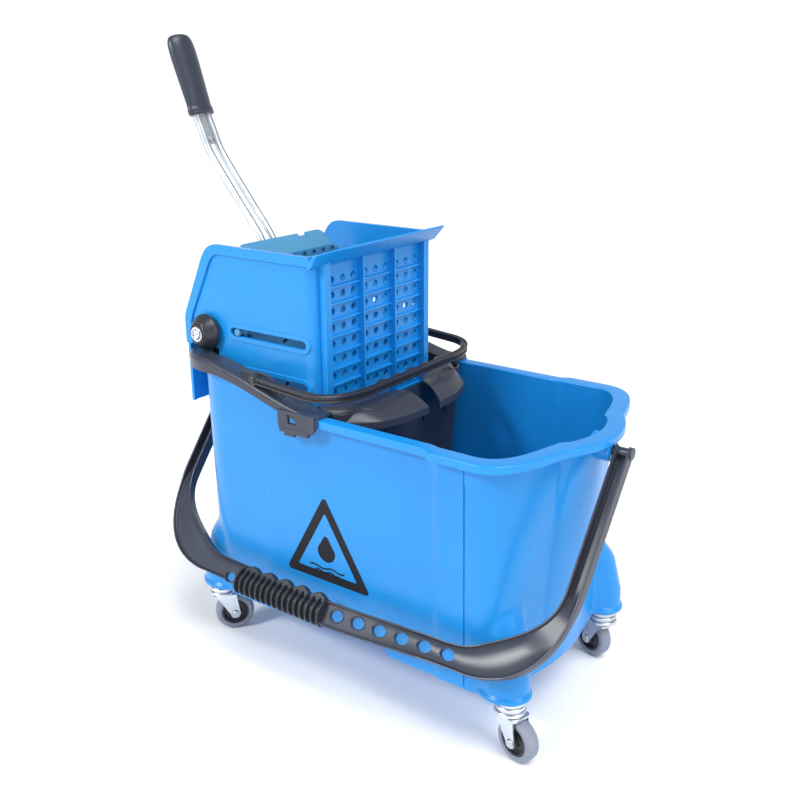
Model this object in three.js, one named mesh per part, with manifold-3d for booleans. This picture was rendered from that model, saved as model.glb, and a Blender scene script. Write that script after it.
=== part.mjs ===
// Wheeled mop bucket with a lift-off lever wringer and a hanging inner bucket.
// Units are millimetres, +Z up. +X is the pouring end, -X the wringer and lever end.
// "right" is the -Y side and "left" the +Y side, seen by someone standing at the lever.
import * as THREE from 'three';
import { mergeVertices } from 'three/addons/utils/BufferGeometryUtils.js';
import Module from 'manifold-3d';

const wasm = await Module();
wasm.setup();

// ---------------------------------------------------------------- driving dimensions
const GAP = 0.3;                 // clearance between pieces that touch
const WHEEL_BASE = 433.6;        // caster centres, along X
const TRACK = 225;               // caster centres, along Y
const WHEEL_RADIUS = 25;
const WHEEL_WIDTH = 17;
const CASTER_TRAIL = 13.5;       // wheel axle behind the swivel axis
const FOOT_BOTTOM = 73;          // underside of the bucket's four feet
const FOOT_INSET = 8.5;          // foot centre, towards the bucket's middle from the caster
const SKIRT_BOTTOM = 70;         // lower edge of the bucket's walls
const STEM_TOP = 90;
const FLOOR_UNDER = 80;
const FLOOR_TOP = 84;
const WALL = 3;
const RIM_TOP = 343.6;           // rim height along the open part
const RIM_RISE = 34;             // how much higher the rim is under the wringer
const RISE_FROM = -10;           // the rise starts here and ends at RISE_TO
const RISE_TO = -180;
const LIP_DEPTH = 10;
const BACK = -228;               // outer face of the bucket's rear wall

const PIVOT_X = -209;            // lever shaft
const PIVOT_Z = 407;
const CHEEK_OUT = 112;           // wringer cheek, outer face
const CHEEK_IN = 108;
const WRINGER_TOP = 512;
const WRINGER_BOTTOM = 292;
const GRID_X = -37.6;            // front edge of the wringer's drain grid
const GRID_WALL_X = -46.6;       // outer face of the drilled wall behind the grid
const GRID_PITCH = 19;
const GRID_TOP = 473.7;
const COLUMN_EDGES = [-90, -30, 30, 90];
const PRESS_FACE_X = -172;       // press plate's front face, lever up
const SLOT_Z = 412;              // guide slot in the cheeks
const LOWER_SLOT_Z = 362;
const CAM_RATIO = 55;            // press plate travel for one radian of lever
const CAM_ANGLE = 58;            // lever travel in degrees
const CAM_Y = 70;

const BAIL_PIVOT_Z = 327;
const BAIL_TILT = 38;            // the bail leans on the right wall
const BAIL_HALF = 285.6;
const BAIL_ARM = 17;               // width of each arm's channel
const BAIL_TOP = 5;                // arm beyond the pivot
const BAIL_DEPTH = 277;
const INNER_BAIL_X = -105;
const INNER_BAIL_Z = 373.5;
const INNER_BAIL_TILT = 4.3;       // slopes down towards its crossbar

// ---------------------------------------------------------------- finishes
const finish = (color, roughness, metalness) =>
  new THREE.MeshStandardMaterial({ color, roughness, metalness });
const BLUE = finish(0x2f96f0, 0.35, 0);
const PLATE_BLUE = finish(0x4a97cc, 0.45, 0);
const GREY = finish(0x474954, 0.45, 0);
const BLACK = finish(0x26272c, 0.4, 0);
const ZINC = finish(0xc3ccd3, 0.3, 0.9);
const TYRE = finish(0x858b9c, 0.6, 0);

// ---------------------------------------------------------------- solids and booleans
function toSolid(geometry) {
  const bare = geometry.clone();
  bare.deleteAttribute('normal');
  bare.deleteAttribute('uv');
  const merged = mergeVertices(bare, 1e-4);
  const vertProperties = new Float32Array(merged.attributes.position.array);
  const triVerts = new Uint32Array(merged.index.array);
  return new wasm.Manifold(new wasm.Mesh({ numProp: 3, vertProperties, triVerts }));
}

function toGeometry(solid) {
  const mesh = solid.getMesh();
  const geometry = new THREE.BufferGeometry();
  geometry.setAttribute('position', new THREE.BufferAttribute(mesh.vertProperties, 3));
  geometry.setIndex(new THREE.BufferAttribute(mesh.triVerts, 1));
  geometry.computeVertexNormals();
  return geometry;
}

function combine(base, added = [], removed = []) {
  let solid = toSolid(base);
  for (const geometry of added) solid = solid.add(toSolid(geometry));
  for (const geometry of removed) solid = solid.subtract(toSolid(geometry));
  return toGeometry(solid);
}

function box(x0, x1, y0, y1, z0, z1) {
  const geometry = new THREE.BoxGeometry(x1 - x0, y1 - y0, z1 - z0);
  return geometry.translate((x0 + x1) / 2, (y0 + y1) / 2, (z0 + z1) / 2);
}

const vectors = (points) => points.map(([a, b]) => new THREE.Vector2(a, b));
const extrude = (shape, depth) =>
  new THREE.ExtrudeGeometry(shape, { depth, bevelEnabled: false, curveSegments: 8 });

// An outline drawn in X and Z, filled from y0 to y1.
function slabY(points, y0, y1) {
  return extrude(new THREE.Shape(vectors(points)), y1 - y0).rotateX(Math.PI / 2).translate(0, y1, 0);
}

// An outline drawn in X and Y, filled from z0 to z1.
function slabZ(points, z0, z1) {
  return extrude(new THREE.Shape(vectors(points)), z1 - z0).translate(0, 0, z0);
}

function cylinderY(radius, x, y0, y1, z, segments = 20) {
  const geometry = new THREE.CylinderGeometry(radius, radius, y1 - y0, segments);
  return geometry.translate(x, (y0 + y1) / 2, z);
}

function cylinderX(radius, x0, x1, y, z, segments = 20) {
  const geometry = new THREE.CylinderGeometry(radius, radius, x1 - x0, segments);
  return geometry.rotateZ(Math.PI / 2).translate((x0 + x1) / 2, y, z);
}

function cylinderZ(radius, x, y, z0, z1, segments = 20) {
  const geometry = new THREE.CylinderGeometry(radius, radius, z1 - z0, segments);
  return geometry.rotateX(Math.PI / 2).translate(x, y, (z0 + z1) / 2);
}

// A lathe about the Y axis at the origin; the profile is [radius, y], axis to axis.
const latheY = (profile, segments = 20) => new THREE.LatheGeometry(vectors(profile), segments);

function signedVolume(positions, index) {
  const corner = (i) => new THREE.Vector3().fromArray(positions, index[i] * 3);
  let volume = 0;
  for (let i = 0; i < index.length; i += 3) {
    volume += corner(i).dot(corner(i + 1).cross(corner(i + 2)));
  }
  return volume;
}

// Stacks rings of points; the first and last are closed by a fan round their middle.
function loft(rings) {
  const count = rings[0].length;
  const positions = rings.flat(2);
  const index = [];
  for (let level = 0; level + 1 < rings.length; level += 1) {
    for (let i = 0; i < count; i += 1) {
      const a = level * count + i;
      const b = level * count + ((i + 1) % count);
      index.push(a, b, b + count, a, b + count, a + count);
    }
  }
  const middle = (points) => [0, 1, 2].map((k) => points.reduce((sum, p) => sum + p[k], 0) / count);
  positions.push(...middle(rings[0]), ...middle(rings.at(-1)));
  const centre = rings.length * count;
  const last = centre - count;
  for (let i = 0; i < count; i += 1) {
    const j = (i + 1) % count;
    index.push(j, i, centre, last + i, last + j, centre + 1);
  }
  if (signedVolume(positions, index) < 0) index.reverse();
  const geometry = new THREE.BufferGeometry();
  geometry.setAttribute('position', new THREE.Float32BufferAttribute(positions, 3));
  geometry.setIndex(index);
  return geometry;
}

// A round bar along a smooth path.
function bar(points, radius, steps, sides = 10) {
  const curve = new THREE.CatmullRomCurve3(points.map((p) => new THREE.Vector3(...p)), false, 'centripetal');
  const section = [];
  for (let i = 0; i < sides; i += 1) {
    const angle = (i * 2 * Math.PI) / sides;
    section.push(new THREE.Vector2(radius * Math.cos(angle), radius * Math.sin(angle)));
  }
  return new THREE.ExtrudeGeometry(new THREE.Shape(section), { steps, extrudePath: curve });
}

function arc(cx, cy, radius, fromDeg, toDeg, steps) {
  const points = [];
  for (let i = 0; i <= steps; i += 1) {
    const angle = THREE.MathUtils.degToRad(fromDeg + ((toDeg - fromDeg) * i) / steps);
    points.push([cx + radius * Math.cos(angle), cy + radius * Math.sin(angle)]);
  }
  return points;
}

function bezier(p0, p1, p2, p3, steps) {
  const curve = new THREE.CubicBezierCurve(...vectors([p0, p1, p2, p3]));
  return curve.getPoints(steps).map((p) => [p.x, p.y]);
}

const lerp = (a, b, t) => a + (b - a) * t;
const smooth = (t) => {
  const k = Math.min(1, Math.max(0, t));
  return k * k * (3 - 2 * k);
};
const riseAt = (x) => RIM_RISE * smooth((RISE_FROM - x) / (RISE_FROM - RISE_TO));

function named(name, geometry, material) {
  const mesh = new THREE.Mesh(geometry, material);
  mesh.name = name;
  return mesh;
}

// ---------------------------------------------------------------- bucket plan
// The three plans that the walls pass through: the opening, the rim's outer edge and the foot.
const OPENING = {
  side: 131, lobe: 134, back: -225, round: 51, start: 178, bendX: 214, bendY: 134,
  turnX: 219, turnY: 90, notchX: 229, notchY: 52, spoutX: 236, spoutY: 45, front: 247,
};
const LIP = {
  side: 147, lobe: 153.5, back: -241, round: 60, start: 184, bendX: 229, bendY: 153.5,
  turnX: 236, turnY: 100, notchX: 247, notchY: 65, spoutX: 252, spoutY: 57, front: 268,
};
const FOOTPRINT = {
  side: 128.5, lobe: 130.5, back: -228, round: 54, start: 176, bendX: 206, bendY: 130.5,
  turnX: 212, turnY: 95, notchX: 218, notchY: 60, spoutX: 219.5, spoutY: 52, front: 225,
};

function grow(plan, by) {
  const out = { ...plan, back: plan.back - by, round: plan.round + by };
  for (const key of ['side', 'lobe', 'bendX', 'bendY', 'turnX', 'notchX', 'spoutX', 'front']) {
    out[key] = plan[key] + by;
  }
  return out;
}

function blend(a, b, t) {
  return Object.fromEntries(Object.keys(a).map((key) => [key, lerp(a[key], b[key], t)]));
}

// Outline from the middle of the rear wall, round the right side, to the spout and back.
function outline(plan) {
  const half = [[plan.back, 0]];
  half.push(...arc(plan.back + plan.round, -plan.side + plan.round, plan.round, 180, 270, 8));
  for (const x of [-150, -125, -100, -80, -60, -40, -20, 0, 50, 126]) half.push([x, -plan.side]);
  half.push([140, -plan.lobe]);
  half.push(...bezier([plan.start, -plan.lobe], [plan.bendX, -plan.bendY], [plan.turnX, -plan.turnY],
    [plan.notchX, -plan.notchY], 7));
  for (const t of [0, 0.33, 0.66]) {
    const y = plan.spoutY * (1 - t);
    half.push([lerp(plan.front, plan.spoutX, (y / plan.spoutY) ** 2), -y]);
  }
  const mirrored = half.slice(1).reverse().map(([x, y]) => [x, -y]);
  return [...half, [plan.front, 0], ...mirrored];
}

const ring = (plan, z) => outline(plan).map(([x, y]) => [x, y, z]);
const rimRing = (plan, z) => outline(plan).map(([x, y]) => [x, y, z + riseAt(x)]);

const WALL_TOP = RIM_TOP - LIP_DEPTH;
const wallPlan = (z, inset = 0) =>
  grow(blend(FOOTPRINT, grow(OPENING, WALL), (z - SKIRT_BOTTOM) / (WALL_TOP - SKIRT_BOTTOM)), -inset);

// The skirt's lower edge lifts into a shallow arch between the feet.
function skirtRing(inset) {
  return outline(wallPlan(SKIRT_BOTTOM, inset)).map(([x, y]) => {
    const lift = x > -105 && x < 57 ? 9 : 0;
    return [x, y, SKIRT_BOTTOM + lift];
  });
}

function footColumn(sx, sy) {
  const cx = sx * (WHEEL_BASE / 2 - FOOT_INSET);
  const cy = (sy * TRACK) / 2;
  const oval = (inX, inY, halfX, halfY, z) =>
    arc(0, 0, 1, 0, 340, 17).map(([a, b]) => [cx - sx * inX + a * halfX, cy - sy * inY + b * halfY, z]);
  return loft([
    oval(0, 0, 30, 25, FOOT_BOTTOM), oval(0, 0, 31.5, 26.5, FOOT_BOTTOM + 2),
    oval(0, 0, 31.5, 26.5, FOOT_BOTTOM + 5), oval(0, 0, 29, 24, FOOT_BOTTOM + 6.5),
    oval(1, 1, 29, 24.5, 100), oval(5, 7, 26, 22.5, 145), oval(26, 30, 14, 12, 205),
  ]);
}

function makeBucket() {
  const shell = loft([
    ring(wallPlan(SKIRT_BOTTOM, WALL), FLOOR_UNDER), skirtRing(WALL), skirtRing(0),
    ring(wallPlan(150), 150), ring(wallPlan(240), 240), rimRing(wallPlan(WALL_TOP), WALL_TOP),
    rimRing(LIP, WALL_TOP), rimRing(LIP, RIM_TOP - 2), rimRing(grow(LIP, -2), RIM_TOP),
    rimRing(OPENING, RIM_TOP), ring(wallPlan(240, WALL), 240), ring(wallPlan(94, WALL), 94),
    ring(wallPlan(FLOOR_TOP, WALL + 7), FLOOR_TOP),
  ]);
  const cavity = loft([
    ring(wallPlan(FLOOR_TOP, WALL + 7), FLOOR_TOP), ring(wallPlan(94, WALL), 94),
    ring(wallPlan(240, WALL), 240), ring(wallPlan(240, WALL), 300),
  ]);
  let body = toSolid(shell);
  for (const sx of [-1, 1]) {
    for (const sy of [-1, 1]) {
      const x = (sx * WHEEL_BASE) / 2;
      const y = (sy * TRACK) / 2;
      const bore = cylinderZ(5.8, x, y, 60, STEM_TOP + 1, 12);
      const collarRoom = cylinderZ(21, x, y, SKIRT_BOTTOM - 1, FOOT_BOTTOM, 20);
      body = body.add(toSolid(footColumn(sx, sy)).subtract(toSolid(cavity)));
      body = body.subtract(toSolid(bore)).subtract(toSolid(collarRoom));
    }
  }
  for (const side of [-1, 1]) {
    const wallX = side < 0 ? BACK : 242;
    const from = Math.min(wallX - side * 2, side * 265);
    const to = Math.max(wallX - side * 2, side * 265);
    const boss = cylinderX(13, from, to, 0, BAIL_PIVOT_Z, 16);
    const bore = cylinderX(5.4, Math.min(side * 250, side * 270), Math.max(side * 250, side * 270), 0,
      BAIL_PIVOT_Z, 12);
    body = body.add(toSolid(boss).subtract(toSolid(cavity))).subtract(toSolid(bore));
  }
  return named('bucket_body', toGeometry(body), BLUE);
}

// ---------------------------------------------------------------- casters
function makeCaster(name, sx, sy, angle) {
  const caster = new THREE.Group();
  caster.position.set((sx * WHEEL_BASE) / 2, (sy * TRACK) / 2, 0);
  caster.rotation.z = THREE.MathUtils.degToRad(angle);
  const crownTop = 53;
  const mount = new THREE.LatheGeometry(vectors([
    [0, crownTop + GAP], [14, crownTop + GAP], [18, 56], [18, 59.5], [15.6, 62], [17.4, 64.6], [17.4, 68],
    [15.2, 70], [15.2, FOOT_BOTTOM - GAP], [5.2, FOOT_BOTTOM - GAP], [5.2, STEM_TOP], [0, STEM_TOP],
  ]), 14).rotateX(Math.PI / 2);
  caster.add(named(`${name}_stem`, mount, ZINC));

  const legProfile = [
    [-9, crownTop - 2], [16, crownTop - 2], [CASTER_TRAIL + 6.5, WHEEL_RADIUS],
    [CASTER_TRAIL + 4.5, WHEEL_RADIUS - 4.8], [CASTER_TRAIL, WHEEL_RADIUS - 6.5],
    [CASTER_TRAIL - 4.5, WHEEL_RADIUS - 4.8], [CASTER_TRAIL - 6.5, WHEEL_RADIUS],
  ];
  const legs = [slabY(legProfile, -13, -11), slabY(legProfile, 11, 13)];
  const crown = slabZ([[-12, -13], [16, -13], [19, -9], [19, 9], [16, 13], [-12, 13], [-15, 8], [-15, -8]],
    crownTop - 2.2, crownTop);
  const axleBore = cylinderY(3.3, CASTER_TRAIL, -20, 20, WHEEL_RADIUS, 12);
  caster.add(named(`${name}_fork`, combine(crown, legs, [axleBore]), ZINC));

  const axle = latheY([[0, -15], [4.6, -15], [5, -13.3], [3, -13.3], [3, 13.3], [5, 13.3], [4.6, 15], [0, 15]],
    12).translate(CASTER_TRAIL, 0, WHEEL_RADIUS);
  caster.add(named(`${name}_axle`, axle, ZINC));

  const half = WHEEL_WIDTH / 2;
  const core = latheY([
    [3.3, -10], [7, -10], [7, -5], [14, -4], [16, -7.5], [17.2, -7.5], [17.2, 7.5], [16, 7.5], [14, 4],
    [7, 5], [7, 10], [3.3, 10], [3.3, -10],
  ], 14).translate(CASTER_TRAIL, 0, WHEEL_RADIUS);
  caster.add(named(`${name}_wheel`, core, BLACK));
  const tyre = latheY([
    [17.5, -half + 0.5], [21, -half], [23.8, -half + 1.6], [WHEEL_RADIUS, -half + 5],
    [WHEEL_RADIUS, half - 5], [23.8, half - 1.6], [21, half], [17.5, half - 0.5], [17.5, -half + 0.5],
  ], 20).translate(CASTER_TRAIL, 0, WHEEL_RADIUS);
  caster.add(named(`${name}_tyre`, tyre, TYRE));
  return caster;
}

// ---------------------------------------------------------------- big bail
// The bail's flat outline; x runs along the bucket, the second value away from the pivots.
function bailOutline() {
  const inside = BAIL_HALF - BAIL_ARM;
  const outer = [[BAIL_HALF, -BAIL_TOP], [BAIL_HALF, 150],
    ...bezier([BAIL_HALF, 165], [BAIL_HALF, 215], [255, 262], [195, 268], 7), [112, 273], [0, BAIL_DEPTH]];
  const inner = [[0, 248], [100, 247], [165, 243], [184, 240],
    ...bezier([222, 218], [255, 203], [inside, 185], [inside, 150], 5), [inside, -BAIL_TOP]];
  const half = outer.map(([x, s]) => [x, -s]);
  const halfInner = inner.map(([x, s]) => [x, -s]);
  const flip = (points) => points.map(([x, s]) => [-x, s]).reverse();
  return [...half, ...flip(half.slice(0, -1)), ...flip(halfInner.slice(1)), ...halfInner];
}

const GRIP_FROM = -137;
const GRIP_TO = 2;

function makeBail() {
  const group = new THREE.Group();
  group.position.set(0, 0, BAIL_PIVOT_Z);
  group.rotation.x = -THREE.MathUtils.degToRad(BAIL_TILT);
  // The flat web, then the two arms' channel walls, which stand up on its outer side.
  const web = slabY(bailOutline(), -4, 4);
  const walls = [];
  const cuts = [];
  for (const side of [-1, 1]) {
    const x0 = side < 0 ? -BAIL_HALF : BAIL_HALF - BAIL_ARM;
    walls.push(box(x0, x0 + BAIL_ARM, -7, 7, -150, BAIL_TOP));
    cuts.push(box(x0 + 3, x0 + BAIL_ARM - 3, -20, 3, -160, -9));
    cuts.push(cylinderX(5.4, x0 - 5, x0 + 25, 0, 0, 14));
  }
  for (const [x, s] of [[-150, 264], [20, 261], [49.4, 260], [78.8, 259], [108.2, 258], [137.6, 257], [167, 255]]) {
    const oval = arc(0, 0, 1, 0, 330, 11).map(([u, v]) => [x + u * 9.5, v * 7 - s]);
    cuts.push(slabY(oval, -20, 20));
  }
  cuts.push(box(GRIP_FROM, GRIP_TO, -20, 20, -290, -272));
  cuts.push(box(GRIP_FROM, GRIP_TO, -20, 20, -254, -235));
  group.add(named('bucket_bail', combine(web, walls, cuts), GREY));

  // Ribbed grip, a sleeve over the narrowed run of the bail.
  const middle = -263;
  const core = cylinderX(12.5, GRIP_FROM + GAP, GRIP_TO - GAP, 0, middle, 12);
  const fins = [];
  const finCount = 14;
  for (let i = 0; i < finCount; i += 1) {
    const x = GRIP_FROM + 3.2 + (i * (GRIP_TO - GRIP_FROM - 6.4)) / (finCount - 1);
    fins.push(cylinderX(16.5, x - 1.6, x + 1.6, 0, middle, 12));
  }
  const hollow = box(GRIP_FROM - 5, GRIP_TO + 5, -4.3, 4.3, -272.3, -253.7);
  group.add(named('bail_grip', combine(core, fins, [hollow]), GREY));

  for (const [side, label] of [[-1, 'rear'], [1, 'front']]) {
    const pin = cylinderX(5, Math.min(side * 252, side * 287), Math.max(side * 252, side * 287), 0, 0, 12);
    const head = cylinderX(8.5, Math.min(side * 285.9, side * 288.2), Math.max(side * 285.9, side * 288.2), 0, 0, 14);
    group.add(named(`bail_pivot_${label}`, combine(pin, [head]), GREY));
  }
  return group;
}

// ---------------------------------------------------------------- inner bucket
const BAND_END = -12;
const BAND_THICKNESS = 3;
const DECK_WIDTH = 24.5;

// Half-open plan of the band, hugging the rim's lip: left side, round the rear, right side.
function bandPath(outward) {
  const side = LIP.side + outward;
  const round = LIP.round + outward;
  const straight = [BAND_END, -30, -50, -70, -90, -110, -130, -150, -168].map((x) => [x, side]);
  const corner = arc(LIP.back + LIP.round, side - round, round, 90, 180, 8);
  const half = [...straight, ...corner];
  return [...half, ...half.slice().reverse().map(([x, y]) => [x, -y])];
}

function bandTopAt(x) {
  return RIM_TOP + riseAt(x) + 4 + 3 * smooth((-150 - x) / 30);
}

function makeBand() {
  const outer = bandPath(GAP + BAND_THICKNESS);
  const inner = bandPath(GAP);
  return loft(outer.map(([x, y], i) => {
    const [u, v] = inner[i];
    const low = WALL_TOP + riseAt(x) + 0.5;
    const high = bandTopAt(x);
    return [[x, y, low], [x, y, high], [u, v, high], [u, v, low]];
  }));
}

// Deck over the rim, from the band to the inner bucket's wall and round the rear.
function makeDeck() {
  const outer = bandPath(2);
  const inner = bandPath(-DECK_WIDTH);
  return loft(outer.map(([x, y], i) => {
    const [u, v] = inner[i];
    const low = RIM_TOP + riseAt(x) + 0.5;
    const high = bandTopAt(x) - 0.2;
    return [[x, y, low], [x, y, high], [u, v, high], [u, v, low]];
  }));
}

const INNER_TOP = { side: 126, back: -223, front: 2, round: 44, frontRound: 22 };
const INNER_LOW = { side: 120, back: -220, front: -6, round: 40, frontRound: 20 };
const INNER_FLOOR = 215;

function innerRing(plan, inset, z, follow = false) {
  const { side, back, front, round, frontRound } = plan;
  const s = side - inset;
  const b = back + inset;
  const f = front - inset;
  const r = round - inset;
  const q = frontRound - inset;
  const half = [...arc(b + r, -s + r, r, 180, 270, 7)];
  for (const x of [-150, -120, -90, -60, -30]) half.push([x, -s]);
  half.push(...arc(f - q, -s + q, q, 270, 360, 4));
  const all = [...half, ...half.slice().reverse().map(([x, y]) => [x, -y])];
  return all.map(([x, y]) => [x, y, z + (follow ? riseAt(x) : 0)]);
}

// Pouring leaves on the front wall: inner edge, then outer edge, for the right-hand one.
const LEAF = [
  [[-34, -121], [-14, -128]], [[-18, -100], [4, -110]], [[-12, -78], [25, -87]], [[-8, -56], [36, -56]],
  [[-4, -36], [39.5, -32]], [[6, -22], [40, -12]],
];

function makeLeaf(sign) {
  return loft(LEAF.map(([[x, y], [u, v]]) =>
    [[x, -sign * y, 349.5], [u, -sign * v, 333], [u, -sign * v, 324], [u - 2.6, -sign * v, 324],
      [u - 2.6, -sign * v, 331], [x, -sign * y, 346.5]]));
}

// Lug that carries the small bail, standing on the web.
function makeLug(sign) {
  const stations = [-138, -128, -118, -105, -92, -80, -70];
  const crest = [374, 379, 380, 380, 378, 371, 358];
  const y = sign * 135;
  return loft(stations.map((x, i) => {
    const low = RIM_TOP + riseAt(x) + 1.5;
    return [[x, y, low], [x, y + 5 * sign, low], [x, y + 5 * sign, crest[i]], [x, y, crest[i]]];
  }));
}

function makeInnerBucket() {
  const top = RIM_TOP + 0.5;
  const shell = loft([
    innerRing(INNER_LOW, 0, INNER_FLOOR), innerRing(INNER_TOP, 0, top, true),
    innerRing(INNER_TOP, 2.5, top, true), innerRing(INNER_LOW, 2.5, INNER_FLOOR + 3),
  ]);
  const added = [makeBand(), makeDeck()];
  // The deck's rear edge is straight there, clear of the press cams as the wringer is lifted.
  const removed = [box(-219.6, -212, -85, 85, RIM_TOP + RIM_RISE - 2, RIM_TOP + RIM_RISE + 16)];
  for (const sign of [-1, 1]) {
    added.push(makeLeaf(sign), makeLug(sign));
    // Snap tab that clips under the rim, with its window.
    const y0 = sign > 0 ? 147.5 : -152.5;
    added.push(box(-67, -14, y0, y0 + 5, 328, 349));
    added.push(box(-60, -24, y0, y0 + 5, 322, 329));
    removed.push(box(-52, -40, y0 - 4, y0 + 9, 336, 343));
    removed.push(cylinderY(3.3, INNER_BAIL_X, sign > 0 ? 130 : -145, sign > 0 ? 145 : -130, INNER_BAIL_Z, 10));
    // Ledge that the wringer's cheek rests on.
    added.push(box(-60, -24, sign > 0 ? 104 : -124, sign > 0 ? 124 : -104, 280, 291.5));
  }
  // Drain slots in the front wall.
  for (const y of [-80, -43, 36, 80]) removed.push(box(-20, 12, y - 2, y + 2, 292, 312));
  return named('inner_bucket', combine(shell, added, removed), GREY);
}

// Small bail, drawn flat in its own frame with the pivots on the Y axis.
function makeInnerBail() {
  const group = new THREE.Group();
  group.position.set(INNER_BAIL_X, 0, INNER_BAIL_Z);
  group.rotation.y = THREE.MathUtils.degToRad(INNER_BAIL_TILT);
  const edge = (side, front) => [[0, side], [60, side],
    ...bezier([70, side], [98, side], [front, side - 22], [front, 76], 6)];
  const half = edge(150, 119);
  const inner = edge(142.5, 111);
  const flip = (points) => points.map(([x, y]) => [x, -y]).reverse();
  const loop = [...half, ...flip(half), ...inner.map(([x, y]) => [x, -y]), ...flip(inner).map(([x, y]) => [x, -y])];
  const bars = slabZ(loop, -4.5, 4.5);
  const added = [-48, -24, 0, 24, 48].map((y) => cylinderY(6.5, 114, y - 7, y + 7, 0, 10));
  const bores = [];
  for (const [y0, y1] of [[-150, -142.5], [142.5, 150]]) {
    added.push(cylinderY(4.5, 0, y0, y1, 0, 12));
    bores.push(cylinderY(3.3, 0, y0 - 5, y1 + 5, 0, 10));
  }
  group.add(named('inner_bail', combine(bars, added, bores), BLACK));
  for (const [sign, label] of [[-1, 'right'], [1, 'left']]) {
    const pin = cylinderY(3, 0, sign > 0 ? 132 : -151.5, sign > 0 ? 151.5 : -132, 0, 10);
    group.add(named(`inner_bail_pin_${label}`, pin, BLACK));
  }
  return group;
}

// ---------------------------------------------------------------- wringer
const cheekOutline = [
  [-249, 312], [-249, 418], [-240, 440], [-214, 494], [-208, 503], [-196, WRINGER_TOP],
  [-60, WRINGER_TOP], [-30, WRINGER_TOP], [-30, WRINGER_BOTTOM], [-196, WRINGER_BOTTOM], [-196, 387],
  [-245, 387], [-245, 312],
];

function slotOutline(x0, x1, z, half) {
  return [...arc(x1, z, half, -90, 90, 6), ...arc(x0, z, half, 90, 270, 6)];
}

function makeWringer() {
  // A U-shaped wall seen from above, cut to the cheeks' outline.
  const corner = 14;
  const outer = [[-249, -CHEEK_OUT], ...arc(GRID_WALL_X - corner, -CHEEK_OUT + corner, corner, 270, 360, 5),
    ...arc(GRID_WALL_X - corner, CHEEK_OUT - corner, corner, 0, 90, 5), [-249, CHEEK_OUT]];
  const t = CHEEK_OUT - CHEEK_IN;
  const inner = [[-249, CHEEK_IN], ...arc(GRID_WALL_X - corner, CHEEK_OUT - corner, corner - t, 90, 0, 5),
    ...arc(GRID_WALL_X - corner, -CHEEK_OUT + corner, corner - t, 360, 270, 5), [-249, -CHEEK_IN]];
  const walls = toSolid(slabZ([...outer, ...inner], WRINGER_BOTTOM, WRINGER_TOP))
    .intersect(toSolid(slabY(cheekOutline, -200, 200)));
  const added = [
    box(-249, -245, -CHEEK_OUT, CHEEK_OUT, 312, 408),
    box(-196, GRID_WALL_X - 2, -CHEEK_IN - 1, CHEEK_IN + 1, WRINGER_BOTTOM, WRINGER_BOTTOM + 4),
  ];
  // Raised border along each cheek's top and rear edge.
  const border = [[-249, 387], [-249, 418], [-240, 440], [-214, 494], [-208, 503], [-196, WRINGER_TOP],
    [-46, WRINGER_TOP], [-46, 501], [-190, 501], [-199, 492], [-229, 436], [-238, 414], [-238, 387]];
  for (const [y0, y1] of [[-115, -CHEEK_OUT + 1], [CHEEK_OUT - 1, 115]]) added.push(slabY(border, y0, y1));
  // Drain grid: stiles, upright ribs and level ribs in front of the drilled wall.
  const top = WRINGER_TOP - 10;
  for (const y of COLUMN_EDGES) added.push(box(GRID_WALL_X - 1, GRID_X, y - 1.2, y + 1.2, WRINGER_BOTTOM, top));
  const levels = [];
  for (let z = GRID_TOP; z > WRINGER_BOTTOM + 5; z -= GRID_PITCH) levels.push(z);
  for (const z of levels) added.push(box(GRID_WALL_X - 1, GRID_X, -90, 90, z - 1.2, z + 1.2));
  for (const sign of [-1, 1]) {
    const y = sign * 94.5;
    added.push(box(GRID_WALL_X - 4, GRID_X, y - 4.5, y + 4.5, WRINGER_BOTTOM, top));
  }
  // Flared lip over the grid.
  const lip = [[GRID_WALL_X - 2, 496], [GRID_X, 500], [-28, 514], [-28, 519], [-32, 519],
    [GRID_WALL_X - 2, 508]];
  added.push(slabY(lip, -113, 113));
  const removed = [];
  for (const z of [...levels.map((level) => level - GRID_PITCH / 2), GRID_TOP + 8]) {
    if (z < WRINGER_BOTTOM + 12) continue;
    for (const edge of COLUMN_EDGES.slice(0, 3)) {
      for (const offset of [13, 32, 51]) {
        removed.push(cylinderX(4.6, GRID_WALL_X - 8, GRID_WALL_X + 0.5, edge + offset, z, 6));
      }
    }
  }
  const slots = [slotOutline(-168, -58, SLOT_Z, 5), slotOutline(-168, -58, LOWER_SLOT_Z, 5)];
  for (const slot of slots) removed.push(slabY(slot, -200, 200));
  removed.push(cylinderY(6.4, PIVOT_X, -200, 200, PIVOT_Z, 16));
  removed.push(box(-260, -243, -30, 30, 300, 352));
  let solid = walls;
  for (const geometry of added) solid = solid.add(toSolid(geometry));
  for (const geometry of removed) solid = solid.subtract(toSolid(geometry));
  return named('wringer_frame', toGeometry(solid), BLUE);
}

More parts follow.
